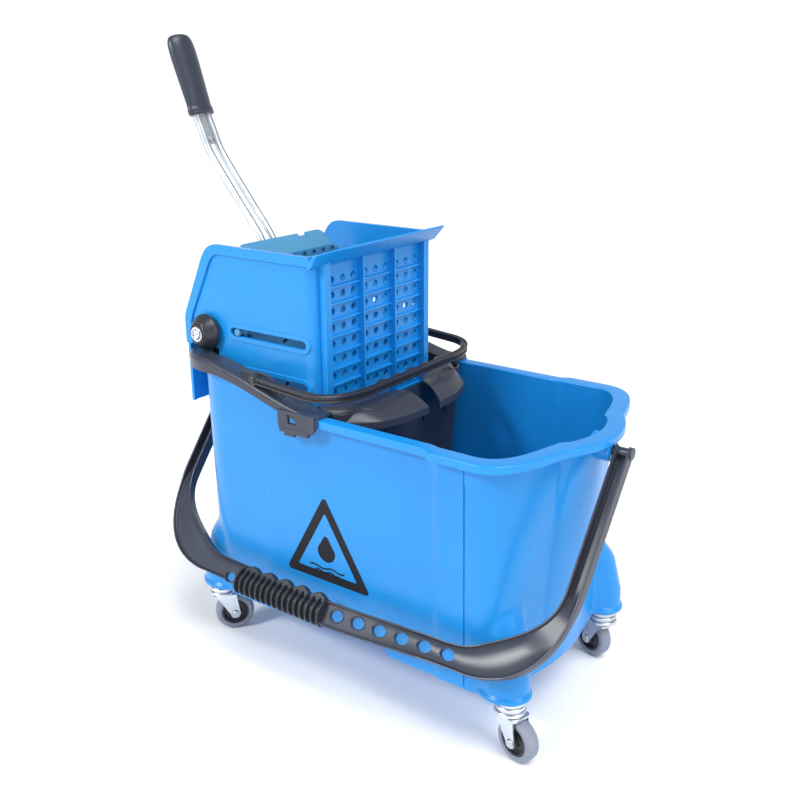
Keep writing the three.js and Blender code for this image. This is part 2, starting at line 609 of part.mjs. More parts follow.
function makePressPlate() {
  const group = new THREE.Group();
  const face = PRESS_FACE_X;
  const profile = [[face, 300], [face, 488], [-191, 504], [-195, 501], [face - 4, 485.6], [face - 4, 300]];
  const added = [];
  const removed = [];
  for (const y of [-CAM_Y, CAM_Y]) added.push(box(face - 6, face - 1, y - 8, y + 8, 302, 478));
  for (let row = 0; row < 9; row += 1) {
    for (let column = -4; column <= 4; column += 1) {
      if (Math.abs(column * 21) === 63) continue;
      removed.push(cylinderX(4, face - 10, face + 5, column * 21, 322 + row * GRID_PITCH, 6));
    }
  }
  removed.push(box(-215, -185, 46, 60, 499, 520));
  const y = CHEEK_IN - 2.5;
  group.add(named('press_plate', combine(slabY(profile, -y, y), added, removed), PLATE_BLUE));
  for (const [sign, label] of [[-1, 'right'], [1, 'left']]) {
    for (const [z, level] of [[SLOT_Z, 'upper'], [LOWER_SLOT_Z, 'lower']]) {
      const pad = cylinderY(7.5, face + 10, sign > 0 ? 100 : -105.5, sign > 0 ? 105.5 : -100, z, 14);
      const pin = cylinderY(4.2, face + 10, sign > 0 ? 104 : -114, sign > 0 ? 114 : -104, z, 12);
      group.add(named(`guide_pin_${level}_${label}`, combine(pad, [pin]), BLUE));
    }
  }
  return group;
}

// ---------------------------------------------------------------- lever
const ROD_RADIUS = 4.9;
const ROD_Y = 9.7;
const GRIP_FOOT = [-318.8, 647.5];
const GRIP_HEAD = [-353, 741];

// Cam face: an involute of the circle whose radius is the travel per radian, so that the
// contact with the upright press plate stays level with the bottom of that circle.
function camOutline() {
  const reach = PRESS_FACE_X - 6 - GAP - PIVOT_X;
  const face = [];
  for (let i = 0; i <= 8; i += 1) {
    const turn = THREE.MathUtils.degToRad((CAM_ANGLE * i) / 8);
    const x = reach + CAM_RATIO * turn;
    const c = Math.cos(-turn);
    const s = Math.sin(-turn);
    face.push([x * c + CAM_RATIO * s - 0.4, x * s - CAM_RATIO * c]);
  }
  const back = face.slice(2).reverse().map(([x, z], i) => [x - 7 - i * 0.7, z + 1]);
  return [[9, -6], [16, -28], ...face, ...back, [-9, -6], [-9, 6], [0, 11], [9, 6]]
    .map(([x, z]) => [PIVOT_X + x, PIVOT_Z + z]);
}

function makeLever() {
  const group = new THREE.Group();
  const leg = (y) => [
    [PIVOT_X, y, PIVOT_Z + 8.6], [PIVOT_X - 1, y, 440], [-208, y, 478], [-217.4, y, 503], [-250, y, 543],
    [-286, y, 587], [-301, y, 608], [-310, y, 628], [GRIP_FOOT[0], y, GRIP_FOOT[1]],
    [-334, y, 690],
  ];
  const near = leg(-ROD_Y);
  const far = leg(ROD_Y).reverse();
  const bend = [[-344, -7.8, 716], [-347.3, 0, 724], [-344, 7.8, 716]];
  group.add(named('lever_rod', bar([...near, ...bend, ...far], ROD_RADIUS, 52, 8), ZINC));

  // Moulded oval grip round both legs of the rod.
  const axis = new THREE.Vector2(GRIP_HEAD[0] - GRIP_FOOT[0], GRIP_HEAD[1] - GRIP_FOOT[1]);
  const length = axis.length();
  const tilt = Math.atan2(-axis.x, axis.y);
  const stations = [[0, 19.4, 8.8], [3, 20.2, 9.8], [8, 20.2, 9.8], [22, 19.3, 10.2], [50, 19.8, 11.4],
    [75, 20.2, 12], [92, 19, 11.6], [98, 16.5, 10], [length + 2, 11, 6.5]];
  const oval = ([along, wide, thick]) => arc(0, 0, 1, 0, 342, 19).map(([a, b]) => [b * thick, a * -wide, along]);
  const outer = loft(stations.map((station) => oval(station)));
  const slotHalf = ROD_RADIUS + GAP + 0.2;
  const core = loft([[-3, 15.3], [90, 15.3]].map(([along, wide]) =>
    [[-slotHalf, -wide, along], [slotHalf, -wide, along], [slotHalf, wide, along], [-slotHalf, wide, along]]));
  const gripShape = combine(outer, [], [core]);
  gripShape.rotateY(-tilt).translate(GRIP_FOOT[0], 0, GRIP_FOOT[1]);
  group.add(named('lever_grip', gripShape, GREY));

  const web = slabY([[-1.2, -38], [1.2, -38], [1.2, -2], [-1.2, -2]], -4.5, 4.5).rotateY(-tilt)
    .translate(GRIP_FOOT[0], 0, GRIP_FOOT[1]);
  group.add(named('lever_web', web, ZINC));
  const webScrew = cylinderX(3.4, 1.6, 4.4, 0, -31, 10).rotateY(-tilt)
    .translate(GRIP_FOOT[0], 0, GRIP_FOOT[1]);
  group.add(named('lever_web_screw', webScrew, ZINC));

  const shaft = latheY([[0, -115.4], [6, -115.4], [6, -107.6], [8, -107.6], [8, 107.6], [6, 107.6],
    [6, 115.4], [0, 115.4]], 16).translate(PIVOT_X, 0, PIVOT_Z);
  group.add(named('lever_shaft', shaft, ZINC));
  for (const [sign, label] of [[-1, 'right'], [1, 'left']]) {
    const y0 = sign * CAM_Y - 4;
    const bore = cylinderY(8.3, PIVOT_X, y0 - 5, y0 + 13, PIVOT_Z, 16);
    group.add(named(`press_cam_${label}`, combine(slabY(camOutline(), y0, y0 + 8), [], [bore]), ZINC));

    const profile = [[0, 116], [21, 116], [21.5, 119], [20, 124], [16, 129], [11, 132.4], [0, 132.4]];
    const bush = latheY(sign > 0 ? profile : profile.map(([r, y]) => [r, -y]).reverse(), 18);
    group.add(named(`pivot_bush_${label}`, bush.translate(PIVOT_X, 0, PIVOT_Z), BLACK));
    const y1 = sign > 0 ? 132.7 : -134.2;
    group.add(named(`pivot_washer_${label}`, cylinderY(9, PIVOT_X, y1, y1 + 1.5, PIVOT_Z, 16), ZINC));
    const head = [[0, 134.5], [6.6, 134.5], [6.4, 136.4], [4.4, 138.2], [0, 138.6]];
    const screw = latheY(sign > 0 ? head : head.map(([r, y]) => [r, -y]).reverse(), 14);
    group.add(named(`pivot_screw_${label}`, screw.translate(PIVOT_X, 0, PIVOT_Z), ZINC));

    group.add(named(`return_spring_${label}`, springCoil(sign), ZINC));
  }
  return group;
}

// Torsion spring wound round the shaft between cam and cheek.
function springCoil(sign) {
  const turns = 4;
  const perTurn = 10;
  const points = [];
  for (let i = 0; i <= turns * perTurn; i += 1) {
    const angle = (i * 2 * Math.PI) / perTurn;
    points.push([PIVOT_X + 11.5 * Math.cos(angle), sign * (82 + (i / perTurn) * 4.6),
      PIVOT_Z + 11.5 * Math.sin(angle)]);
  }
  return bar(points, 1.4, turns * perTurn, 5);
}

// ---------------------------------------------------------------- assembly
const model = new THREE.Group();
model.add(makeBucket());
model.add(makeCaster('caster_rear_right', -1, -1, 50));
model.add(makeCaster('caster_front_right', 1, -1, -15));
model.add(makeCaster('caster_front_left', 1, 1, 160));
model.add(makeCaster('caster_rear_left', -1, 1, 205));
model.add(makeBail());
model.add(makeInnerBucket());
model.add(makeInnerBail());
model.add(makeWringer());
model.add(makePressPlate());
model.add(makeLever());

// The origin is on the floor, in the middle of the whole object's footprint.
model.updateMatrixWorld(true);
const extent = new THREE.Box3().setFromObject(model, true);
const centre = extent.getCenter(new THREE.Vector3());
model.position.set(-centre.x, -centre.y, -extent.min.z);
const object = new THREE.Group();
object.add(model);

export default object;
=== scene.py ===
"""Wheeled mop bucket with an inner bucket, a carrying bail and a lever wringer.

Shapes are drawn in millimetres in the design frame: X = 0 in the middle of the wheel base,
Y = 0 on the middle plane, Z = 0 on the floor. to_metres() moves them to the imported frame.
"""
import math

import bmesh
import bpy
import numpy as np
from mathutils import Matrix, Vector


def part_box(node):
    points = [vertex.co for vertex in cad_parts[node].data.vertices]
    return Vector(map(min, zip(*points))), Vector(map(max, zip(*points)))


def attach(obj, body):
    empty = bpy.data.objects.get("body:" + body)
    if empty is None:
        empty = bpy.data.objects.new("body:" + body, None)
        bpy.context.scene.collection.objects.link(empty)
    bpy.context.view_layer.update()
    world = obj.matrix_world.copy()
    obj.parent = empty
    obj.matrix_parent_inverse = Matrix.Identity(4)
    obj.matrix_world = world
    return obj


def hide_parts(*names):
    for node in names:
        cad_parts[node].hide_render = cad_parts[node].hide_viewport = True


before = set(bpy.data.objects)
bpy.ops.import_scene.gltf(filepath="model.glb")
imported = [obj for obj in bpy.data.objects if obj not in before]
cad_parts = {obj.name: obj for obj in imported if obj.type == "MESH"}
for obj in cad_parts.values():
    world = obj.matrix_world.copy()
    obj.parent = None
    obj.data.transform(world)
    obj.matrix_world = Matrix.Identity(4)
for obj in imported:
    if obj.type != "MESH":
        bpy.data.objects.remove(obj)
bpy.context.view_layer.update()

# -------- design frame
CASTER_X = 216.8
CASTER_Y = 112.5
stem_low, stem_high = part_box("caster_front_right_stem")
OFFSET = Vector((
    (stem_low.x + stem_high.x) / 2 - CASTER_X / 1000,
    (stem_low.y + stem_high.y) / 2 + CASTER_Y / 1000,
    0.0,
))

CASTER_PLACE = {
    "rear_right": (-CASTER_X, -CASTER_Y, 50),
    "front_right": (CASTER_X, -CASTER_Y, -15),
    "front_left": (CASTER_X, CASTER_Y, 160),
    "rear_left": (-CASTER_X, CASTER_Y, 205),
}
CASTER_TRAIL = 13.5
WHEEL_RADIUS = 25.0

RIM_TOP = 343.6
RIM_RISE = 34.0
WALL = 3.0
SKIRT_BOTTOM = 70.0
LIP_BOTTOM = 334.5
BAIL_PIVOT_Z = 327.0
BAIL_TILT = math.radians(38)
PIVOT_X = -209.0                  # lever shaft
PIVOT_Z = 407.0
INNER_BAIL_X = -105               # small bail's pins
INNER_BAIL_Z = 373.5
AXIS_RADIUS = 0.001               # stands in for a lathe radius of nothing
PIVOT = (PIVOT_X, 0, PIVOT_Z)
INNER_PIVOT = (INNER_BAIL_X, 0, INNER_BAIL_Z)
SIDES = ((-1, "right"), (1, "left"))


def to_metres(points):
    """Design-frame millimetres to packed-frame metres."""
    return [Vector((x, y, z)) / 1000 + OFFSET for x, y, z in points]


def lerp(a, b, t):
    return a + (b - a) * t


def smooth(t):
    t = min(1.0, max(0.0, t))
    return t * t * (3 - 2 * t)


def rise(x):
    """How much higher than RIM_TOP the rim is at x: it climbs towards the wringer."""
    return RIM_RISE * smooth((-10 - x) / 170)


def arc(cx, cy, radius, start, end, steps):
    angles = [math.radians(lerp(start, end, i / steps)) for i in range(steps + 1)]
    return [(cx + radius * math.cos(a), cy + radius * math.sin(a)) for a in angles]


def bezier(p0, p1, p2, p3, steps):
    points = []
    for i in range(steps + 1):
        t = i / steps
        w = ((1 - t) ** 3, 3 * t * (1 - t) ** 2, 3 * t * t * (1 - t), t ** 3)
        points.append(tuple(sum(k * p[j] for k, p in zip(w, (p0, p1, p2, p3))) for j in (0, 1)))
    return points


# -------- meshes and pieces
def new_object(name, data):
    obj = bpy.data.objects.new(name, data)
    bpy.context.scene.collection.objects.link(obj)
    return obj


def object_from(name, bm):
    """Object whose mesh is the given bmesh, which is freed."""
    mesh = bpy.data.meshes.new(name)
    bm.to_mesh(mesh)
    bm.free()
    return new_object(name, mesh)


def build(name, points, faces):
    """Object from design-frame points, with its face normals made consistent."""
    mesh = bpy.data.meshes.new(name)
    mesh.from_pydata([tuple(p) for p in to_metres(points)], [], faces)
    mesh.validate()
    bm = bmesh.new()
    bm.from_mesh(mesh)
    bpy.data.meshes.remove(mesh)
    bmesh.ops.remove_doubles(bm, verts=bm.verts, dist=1e-6)
    bmesh.ops.recalc_face_normals(bm, faces=bm.faces)
    return object_from(name, bm)


def shade(obj, angle=32):
    """Smooth shading that keeps edges sharper than the angle and keeps wide faces flat."""
    mesh = obj.data
    mesh.shade_smooth()
    bm = bmesh.new()
    bm.from_mesh(mesh)
    limit = math.radians(angle)
    for edge in bm.edges:
        if len(edge.link_faces) == 2 and edge.calc_face_angle(0.0) > limit:
            edge.smooth = False
    bm.to_mesh(mesh)
    bm.free()
    modifier = obj.modifiers.new("normals", "WEIGHTED_NORMAL")
    modifier.keep_sharp = True
    apply_modifiers(obj)


def apply_modifiers(obj):
    """Bakes the object's modifiers into its mesh."""
    graph = bpy.context.evaluated_depsgraph_get()
    graph.update()
    mesh = bpy.data.meshes.new_from_object(obj.evaluated_get(graph))
    old = obj.data
    obj.modifiers.clear()
    obj.data = mesh
    bpy.data.meshes.remove(old)


def bevel(obj, width, segments=2, angle=30):
    modifier = obj.modifiers.new("edges", "BEVEL")
    modifier.width = width / 1000
    modifier.segments = segments
    modifier.limit_method = "ANGLE"
    modifier.angle_limit = math.radians(angle)
    apply_modifiers(obj)


def cut(obj, *tools, operation="DIFFERENCE"):
    """Combines the object with each tool object in turn, then removes the tool."""
    for tool in tools:
        modifier = obj.modifiers.new("cut", "BOOLEAN")
        modifier.operation = operation
        modifier.solver = "EXACT"
        modifier.object = tool
        apply_modifiers(obj)
        bpy.data.objects.remove(tool)


def join(name, parts):
    """One object from several closed shells."""
    bm = bmesh.new()
    for part in parts:
        bm.from_mesh(part.data)
        bpy.data.objects.remove(part)
    return object_from(name, bm)


def finish_piece(obj, body, finish, replaced=(), angle=32):
    """Gives a piece its look and its body, and hides the CAD nodes it stands in for."""
    material, slot = finish
    obj.data.materials.clear()
    obj.data.materials.append(material)
    for polygon in obj.data.polygons:
        polygon.material_index = 0
    shade(obj, angle)
    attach(obj, body)
    if replaced:
        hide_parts(*replaced)


def loft(name, rings, closed=False):
    """Skin over rings of equal count: capped at both ends, or closed from last to first."""
    count, levels = len(rings[0]), len(rings)
    faces = []
    for level in range(levels if closed else levels - 1):
        a, b = level * count, (level + 1) % levels * count
        faces += [(a + i, a + (i + 1) % count, b + (i + 1) % count, b + i) for i in range(count)]
    if not closed:
        faces.append(tuple(reversed(range(count))))
        faces.append(tuple(range((levels - 1) * count, levels * count)))
    return build(name, [p for ring in rings for p in ring], faces)


def full_turn(steps):
    return [2 * math.pi * i / steps for i in range(steps)]


def lathe(name, profile, place, segments=48):
    """Spins (radius, along) pairs; place() maps local (x, y, along) to the design frame."""
    rings = []
    for radius, along in profile:
        r = max(radius, AXIS_RADIUS)
        rings.append([place(r * math.cos(a), r * math.sin(a), along) for a in full_turn(segments)])
    return loft(name, rings)


def closed_lathe(name, profile, place, segments=48):
    """A lathe whose profile closes on itself, such as a tyre."""
    return loft(name, [[place(r * math.cos(a), r * math.sin(a), along) for r, along in profile]
                       for a in full_turn(segments)], closed=True)


def there_and_back_from(half, front, first=1):
    """A half outline, the point at the front, then the mirror image back to half[first]."""
    return half + [(front, 0.0)] + [(x, -y) for x, y in reversed(half[first:])]


def mirrored(sign, profile):
    """The (radius, along) pairs on the side that sign says."""
    return [(r, sign * along) for r, along in profile]


def there_and_back(half):
    """A half outline on one side of y = 0, then its mirror image back to the start."""
    return half + [(x, -y) for x, y in reversed(half)]


def along_x(x0, y0, z0):
    return lambda a, b, along: (x0 + along, y0 + a, z0 + b)


def along_y(x0, y0, z0):
    return lambda a, b, along: (x0 + b, y0 + along, z0 + a)


def along_z(x0, y0, z0):
    return lambda a, b, along: (x0 + a, y0 + b, z0 + along)


def slab_y(name, outline_xz, y0, y1):
    """Prism of an X-Z outline between two Y planes."""
    count = len(outline_xz)
    points = [(x, y, z) for y in sorted((y0, y1)) for x, z in outline_xz]
    faces = [tuple(range(count)), tuple(range(2 * count - 1, count - 1, -1))]
    faces += [(i, i + count, (i + 1) % count + count, (i + 1) % count) for i in range(count)]
    return build(name, points, faces)


def block(name, x0, x1, y0, y1, z0, z1, radius=0.8):
    y0, y1 = sorted((y0, y1))
    corners = [(x, y, z) for z in (z0, z1) for x, y in ((x0, y0), (x1, y0), (x1, y1), (x0, y1))]
    faces = [(0, 3, 2, 1), (4, 5, 6, 7), (0, 1, 5, 4), (1, 2, 6, 5), (2, 3, 7, 6), (3, 0, 4, 7)]
    obj = build(name, corners, faces)
    if radius:
        bevel(obj, radius, 3)
    return obj


def refined(node, width, body, finish, segments=2, angle=30):
    """A copy of a CAD node with rounded edges, standing in for it."""
    bm = bmesh.new()
    bm.from_mesh(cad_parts[node].data)
    bmesh.ops.remove_doubles(bm, verts=bm.verts, dist=2e-6)
    bmesh.ops.dissolve_limit(bm, angle_limit=math.radians(1.0), verts=bm.verts, edges=bm.edges)
    obj = object_from(node + "_piece", bm)
    bevel(obj, width, segments, angle)
    finish_piece(obj, body, finish, [node], 40)


# -------- materials
def node_tree(name):
    material = bpy.data.materials.new(name)
    material.use_nodes = True
    tree = material.node_tree
    tree.nodes.clear()
    output = tree.nodes.new("ShaderNodeOutputMaterial")
    shader = tree.nodes.new("ShaderNodeBsdfPrincipled")
    tree.links.new(shader.outputs["BSDF"], output.inputs["Surface"])
    return material, tree, shader


def add_node(tree, kind, sockets):
    """New shader node; each named socket takes a value or a link from an output."""
    node = tree.nodes.new(kind)
    for key, value in sockets.items():
        if isinstance(value, bpy.types.NodeSocket):
            tree.links.new(value, node.inputs[key])
        else:
            node.inputs[key].default_value = value
    return node


def add_noise(tree, scale, detail=4.0, roughness=0.5, stretch=None):
    source = tree.nodes.new("ShaderNodeTexCoord").outputs["Object"]
    if stretch:
        mapping = add_node(tree, "ShaderNodeMapping", {"Vector": source, "Scale": stretch})
        source = mapping.outputs["Vector"]
    return add_node(tree, "ShaderNodeTexNoise", {
        "Vector": source, "Scale": scale, "Detail": detail, "Roughness": roughness}).outputs["Fac"]


def add_range(tree, value, low, high, out_low, out_high):
    return add_node(tree, "ShaderNodeMapRange", {
        "Value": value, "From Min": low, "From Max": high,
        "To Min": out_low, "To Max": out_high}).outputs["Result"]


def add_mix(tree, factor, first, second):
    node = tree.nodes.new("ShaderNodeMix")
    node.data_type = "RGBA"
    tree.links.new(factor, node.inputs["Factor"])
    for key, value in (("A", first), ("B", second)):
        socket = [s for s in node.inputs if s.name == key and s.type == "RGBA"][0]
        if isinstance(value, tuple):
            socket.default_value = value
        else:
            tree.links.new(value, socket)
    return [s for s in node.outputs if s.type == "RGBA"][0]


def add_bump(tree, shader, layers):
    """Stacks bump layers given as (height, strength, distance)."""
    below = {}
    for height, strength, distance in layers:
        bump = add_node(tree, "ShaderNodeBump", {
            "Height": height, "Strength": strength, "Distance": distance, **below})
        below = {"Normal": bump.outputs["Normal"]}
    tree.links.new(below["Normal"], shader.inputs["Normal"])


def shaded(color, factor):
    return tuple(min(1.0, c * factor) for c in color[:3]) + (1.0,)


def mottled(tree, noise, low, high, color, dark, light):
    """The colour, darker where the noise is low and lighter where it is high."""
    return add_mix(tree, add_range(tree, noise, low, high, 0.0, 1.0),
                   shaded(color, dark), shaded(color, light))


def moulded_plastic(name, color, rough, grain=0.10, specular=0.5, wear=1.18):
    """Injection-moulded plastic: faint flow clouds, fine grain, rubbed edges, handling scuffs."""
    material, tree, shader = node_tree(name)
    base = mottled(tree, add_noise(tree, 9.0, 3.0), 0.3, 0.7, color, 0.95, 1.05)
    geometry = tree.nodes.new("ShaderNodeNewGeometry")
    edges = add_range(tree, geometry.outputs["Pointiness"], 0.52, 0.62, 0.0, 0.55)
    base = add_mix(tree, edges, base, shaded(color, wear))
    tree.links.new(base, shader.inputs["Base Color"])
    scuffs = add_range(tree, add_noise(tree, 12.0, 2.0), 0.3, 0.7, rough - 0.02, rough + 0.03)
    tree.links.new(scuffs, shader.inputs["Roughness"])
    shader.inputs["Specular IOR Level"].default_value = specular
    fine = add_noise(tree, 1400.0, 2.0)
    slow = add_noise(tree, 22.0, 2.0)
    add_bump(tree, shader, [(slow, 0.04, 0.002), (fine, grain, 0.0002)])
    return material


def plated_metal(name, color, rough, stretch):
    """Zinc plate: cool blotches, fine drawing lines and a little dulling."""
    material, tree, shader = node_tree(name)
    blotch = add_noise(tree, 35.0, 5.0, 0.6)
    base = mottled(tree, blotch, 0.35, 0.65, color, 0.9, 1.06)
    tree.links.new(base, shader.inputs["Base Color"])
    shader.inputs["Metallic"].default_value = 1.0
    lines = add_noise(tree, 120.0, 3.0, 0.5, stretch)
    dulled = add_range(tree, lines, 0.3, 0.7, rough - 0.05, rough + 0.08)
    tree.links.new(dulled, shader.inputs["Roughness"])
    add_bump(tree, shader, [(blotch, 0.05, 0.001), (lines, 0.05, 0.0001)])
    return material


def tyre_rubber(name, color):
    """Matt rubber with dust in faint patches."""
    material, tree, shader = node_tree(name)
    dirt = add_noise(tree, 55.0, 5.0, 0.65)
    base = mottled(tree, dirt, 0.35, 0.7, color, 0.88, 1.06)
    tree.links.new(base, shader.inputs["Base Color"])
    tree.links.new(add_range(tree, dirt, 0.3, 0.7, 0.45, 0.66), shader.inputs["Roughness"])
    add_bump(tree, shader, [(add_noise(tree, 900.0, 3.0), 0.2, 0.0003)])
    return material


# Each finish is a look and the CAD slot it stands for.
BLUE = (moulded_plastic("blue_moulding", (0.009, 0.238, 0.64), 0.28, 0.10, 0.40), "blue_plastic")
BLUE_PLATE = (moulded_plastic("press_plate_moulding", (0.07, 0.26, 0.45), 0.40, 0.16, 0.4),
              "press_plate_blue")
GREY = (moulded_plastic("grey_moulding", (0.034, 0.040, 0.060), 0.30, 0.12, 0.38, 1.6),
        "grey_plastic")
BLACK = (moulded_plastic("black_moulding", (0.020, 0.022, 0.029), 0.33, 0.12, 0.45, 1.7),
         "black_plastic")
DARK_GRIP = (BLACK[0], "grey_plastic")
ZINC = (plated_metal("zinc_plate", (0.66, 0.70, 0.74), 0.30, (1.0, 1.0, 0.1)), "zinc_steel")
DARK_ZINC = (plated_metal("dull_zinc", (0.55, 0.57, 0.60), 0.38, (6.0, 1.0, 1.0)), "zinc_steel")
TYRE = (tyre_rubber("grey_tyre", (0.215, 0.245, 0.315)), "grey_tyre")
PRINT = (moulded_plastic("black_print", (0.006, 0.007, 0.012), 0.55, 0.05, 0.25), "black_plastic")


# -------- bucket
OPENING = dict(side=131, lobe=134, back=-225, round=51, start=178, bendX=214, bendY=134,
               turnX=219, turnY=90, notchX=229, notchY=52, spoutX=236, spoutY=45, front=247)
LIP = dict(side=147, lobe=153.5, back=-241, round=60, start=184, bendX=229, bendY=153.5,
           turnX=236, turnY=100, notchX=247, notchY=65, spoutX=252, spoutY=57, front=268)
FOOTPRINT = dict(side=128.5, lobe=130.5, back=-228, round=54, start=176, bendX=206, bendY=130.5,
                 turnX=212, turnY=95, notchX=218, notchY=60, spoutX=219.5, spoutY=52, front=225)
GROWN = ("side", "lobe", "bendX", "bendY", "turnX", "notchX", "spoutX", "front", "round")


def grow(plan, by):
    out = dict(plan)
    for key in GROWN:
        out[key] += by
    out["back"] -= by
    return out


def blend(a, b, t):
    return {key: lerp(a[key], b[key], t) for key in a}


def outline(plan, groove=0.0):
    """Closed plan outline, finely sampled, with an optional groove at the front of the lobe."""
    side, lobe, back, radius = plan["side"], plan["lobe"], plan["back"], plan["round"]
    half = [(back, -t * (side - radius) / 10) for t in range(10)]
    half += arc(back + radius, -side + radius, radius, 180, 270, 22)
    start = back + radius
    half += [(lerp(start, 125, i / 76), -side) for i in range(1, 77)]
    half += [(lerp(125, 139, i / 6), -lerp(side, lobe, smooth(i / 6))) for i in range(1, 7)]
    half += [(x, -lobe) for x in (146, 153, 160, 168)]
    half += [(168.3, -lobe + groove), (169.9, -lobe + groove), (170.4, -lobe + groove * 0.3)]
    half += bezier((plan["start"], -lobe), (plan["bendX"], -plan["bendY"]),
                   (plan["turnX"], -plan["turnY"]), (plan["notchX"], -plan["notchY"]), 30)
    half += [(lerp(plan["notchX"], plan["spoutX"], t), -lerp(plan["notchY"], plan["spoutY"], t))
             for t in (0.25, 0.5, 0.75)]
    for i in range(14):
        t = 1 - i / 14
        half.append((lerp(plan["front"], plan["spoutX"], t * t), -plan["spoutY"] * t))
    return there_and_back_from(half, plan["front"])


def wall_plan(z, inset=0.0):
    top = grow(OPENING, WALL)
    return grow(blend(FOOTPRINT, top, (z - SKIRT_BOTTOM) / (RIM_TOP - 10 - SKIRT_BOTTOM)), -inset)


FOOT_BOTTOM = 73.0
FOOT_BLEND = 5.0                  # how softly a foot runs into the wall
FOOT_INSET = 8.5
FOOT_LENGTH = 1.2                 # length over width of the foot's oval
FOOT_STATIONS = [                 # height, radius and centre of the front left foot's flare
    (FOOT_BOTTOM, 24.0, 208.3, 112.5), (100, 24.4, 207.3, 111.5), (145, 22.0, 202.0, 105.0),
    (175, 17.0, 192.0, 93.0), (208, 10.0, 178.0, 76.0)]
FOOT_FADE = 2.2                   # how steeply the flare ends beside a foot


def foot_at(z):
    """Radius and centre of the foot's flare at height z."""
    for low, high in zip(FOOT_STATIONS, FOOT_STATIONS[1:]):
        if z <= high[0]:
            t = max(0.0, (z - low[0]) / (high[0] - low[0]))
            return [lerp(a, b, t) for a, b in zip(low[1:], high[1:])]
    return FOOT_STATIONS[-1][1:]


def smooth_max(a, b, k):
    h = max(k - abs(a - b), 0.0) / k
    return max(a, b) + h * h * k / 4


def with_feet(points, z):
    """Swells an outline out over the four oval feet."""
    if z < FOOT_BOTTOM or z > FOOT_STATIONS[-1][0]:
        return points
    radius, cx, cy = foot_at(z)
    cx /= FOOT_LENGTH
    out = []
    for x, y in points:
        squeezed = x / FOOT_LENGTH
        reach = math.hypot(squeezed, y)
        ux, uy = abs(squeezed) / reach, abs(y) / reach
        across = abs(ux * cy - uy * cx)
        along = ux * cx + uy * cy
        if across < radius:
            hit = along + math.sqrt(radius * radius - across * across)
        else:
            hit = along - FOOT_FADE * (across - radius)
        new = smooth_max(reach, hit, FOOT_BLEND)
        out.append((x * new / reach, y * new / reach))
    return out


def skirt_lift(x):
    """The skirt's lower edge arches up between the feet."""
    return 20 * smooth((x + 112) / 12) * smooth((66 - x) / 11)


def ring_at(points, z, follow_rim=False, arch=False):
    """An outline at height z, with the rim's rise or the skirt's arch added."""
    return [(x, y, z + (rise(x) if follow_rim else 0.0) + (skirt_lift(x) if arch else 0.0))
            for x, y in points]


FOOT_RING = [(width, FOOT_BOTTOM + up) for width, up in (
    (16.0, 0), (24.0, 0), (25.4, 0.4), (26.3, 1.3), (26.5, 2.4), (26.4, 4.2),
    (25.8, 5.2), (24.9, 6.0), (24.3, 7.4), (23.0, 8.6), (12.0, 9.2))]


def bucket_rings():
    """Outlines up the outside of the bucket, over the lip and down the inside to the floor."""
    foot = SKIRT_BOTTOM
    rings = [ring_at(outline(wall_plan(82, WALL + 14)), 80),
             ring_at(outline(wall_plan(82, WALL + 2)), 80),
             ring_at(outline(wall_plan(76, WALL)), 77)]
    for inset, z in ((WALL, foot + 0.4), (0.6, foot), (0.0, foot + 0.7), (0.0, 72.0)):
        rings.append(ring_at(outline(wall_plan(foot, inset)), z, arch=True))
    for z in (75.5, 80, 86):
        plan = with_feet(outline(wall_plan(z), 1.5), z)
        rings.append([(x, y, z + skirt_lift(x) * (90 - z) / 20) for x, y in plan])
    for z in list(range(93, 216, 7)) + [230, 250, 270, 290, 305]:
        rings.append(ring_at(with_feet(outline(wall_plan(z), 1.5), z), z))
    top = grow(OPENING, WALL)
    for share, z in ((0, 316), (0, 324), (0, 331), (0.04, 333.3), (0.12, 334.2), (0.25, LIP_BOTTOM),
                     (0.96, LIP_BOTTOM), (0.99, 334.7), (1.0, 335.1), (1.0, 341.6), (0.985, 342.6),
                     (0.95, 343.2), (0.90, RIM_TOP), (0.5, RIM_TOP)):
        plan = outline(blend(top, LIP, share), 1.0 * (1 - share))
        rings.append(ring_at(plan, z, follow_rim=True))
    for inset, drop in ((1.6, 0), (0.7, 0.3), (0.2, 0.9), (0.0, 1.8)):
        rings.append(ring_at(outline(grow(OPENING, inset)), RIM_TOP - drop, follow_rim=True))
    rings.append(ring_at(outline(wall_plan(320, WALL)), 322, follow_rim=True))
    for z in (300, 260, 220, 180, 140, 110, 97):
        rings.append(ring_at(outline(wall_plan(z, WALL)), z))
    for inset, z in ((1.0, 91.5), (3.2, 87.4), (6.4, 85.0), (11.0, 84.0), (40.0, 83.6)):
        rings.append(ring_at(outline(wall_plan(86, WALL + inset)), z))
    return rings


def make_bucket():
    parts = [loft("bucket_shell", bucket_rings())]
    for sx in (-1, 1):
        for sy in (-1, 1):
            cx = sx * (CASTER_X - FOOT_INSET)
            foot = loft("foot_ring", [
                [(cx + (width + 5) * math.cos(t), sy * CASTER_Y + width * math.sin(t), z)
                 for t in full_turn(64)] for width, z in FOOT_RING])
            cut(foot, lathe("bore", [(0, 60), (5.9, 60), (5.9, 81), (0, 81)],
                            along_z(sx * CASTER_X, sy * CASTER_Y, 0), 32))
            parts.append(foot)
    for side, wall_x, end in ((1, 243.0, 265.0), (-1, -226.0, -265.0)):
        profile = [(16.5, wall_x), (14.6, wall_x + side * 2), (13.2, wall_x + side * 6),
                   (13.0, end - side * 1.4), (12.4, end - side * 0.4), (11.6, end), (5.5, end),
                   (5.5, wall_x)]
        parts.append(closed_lathe("pivot_boss", profile, along_x(0, 0, BAIL_PIVOT_Z)))
    finish_piece(join("bucket_shell", parts), "bucket", BLUE, ["bucket_body"], 38)


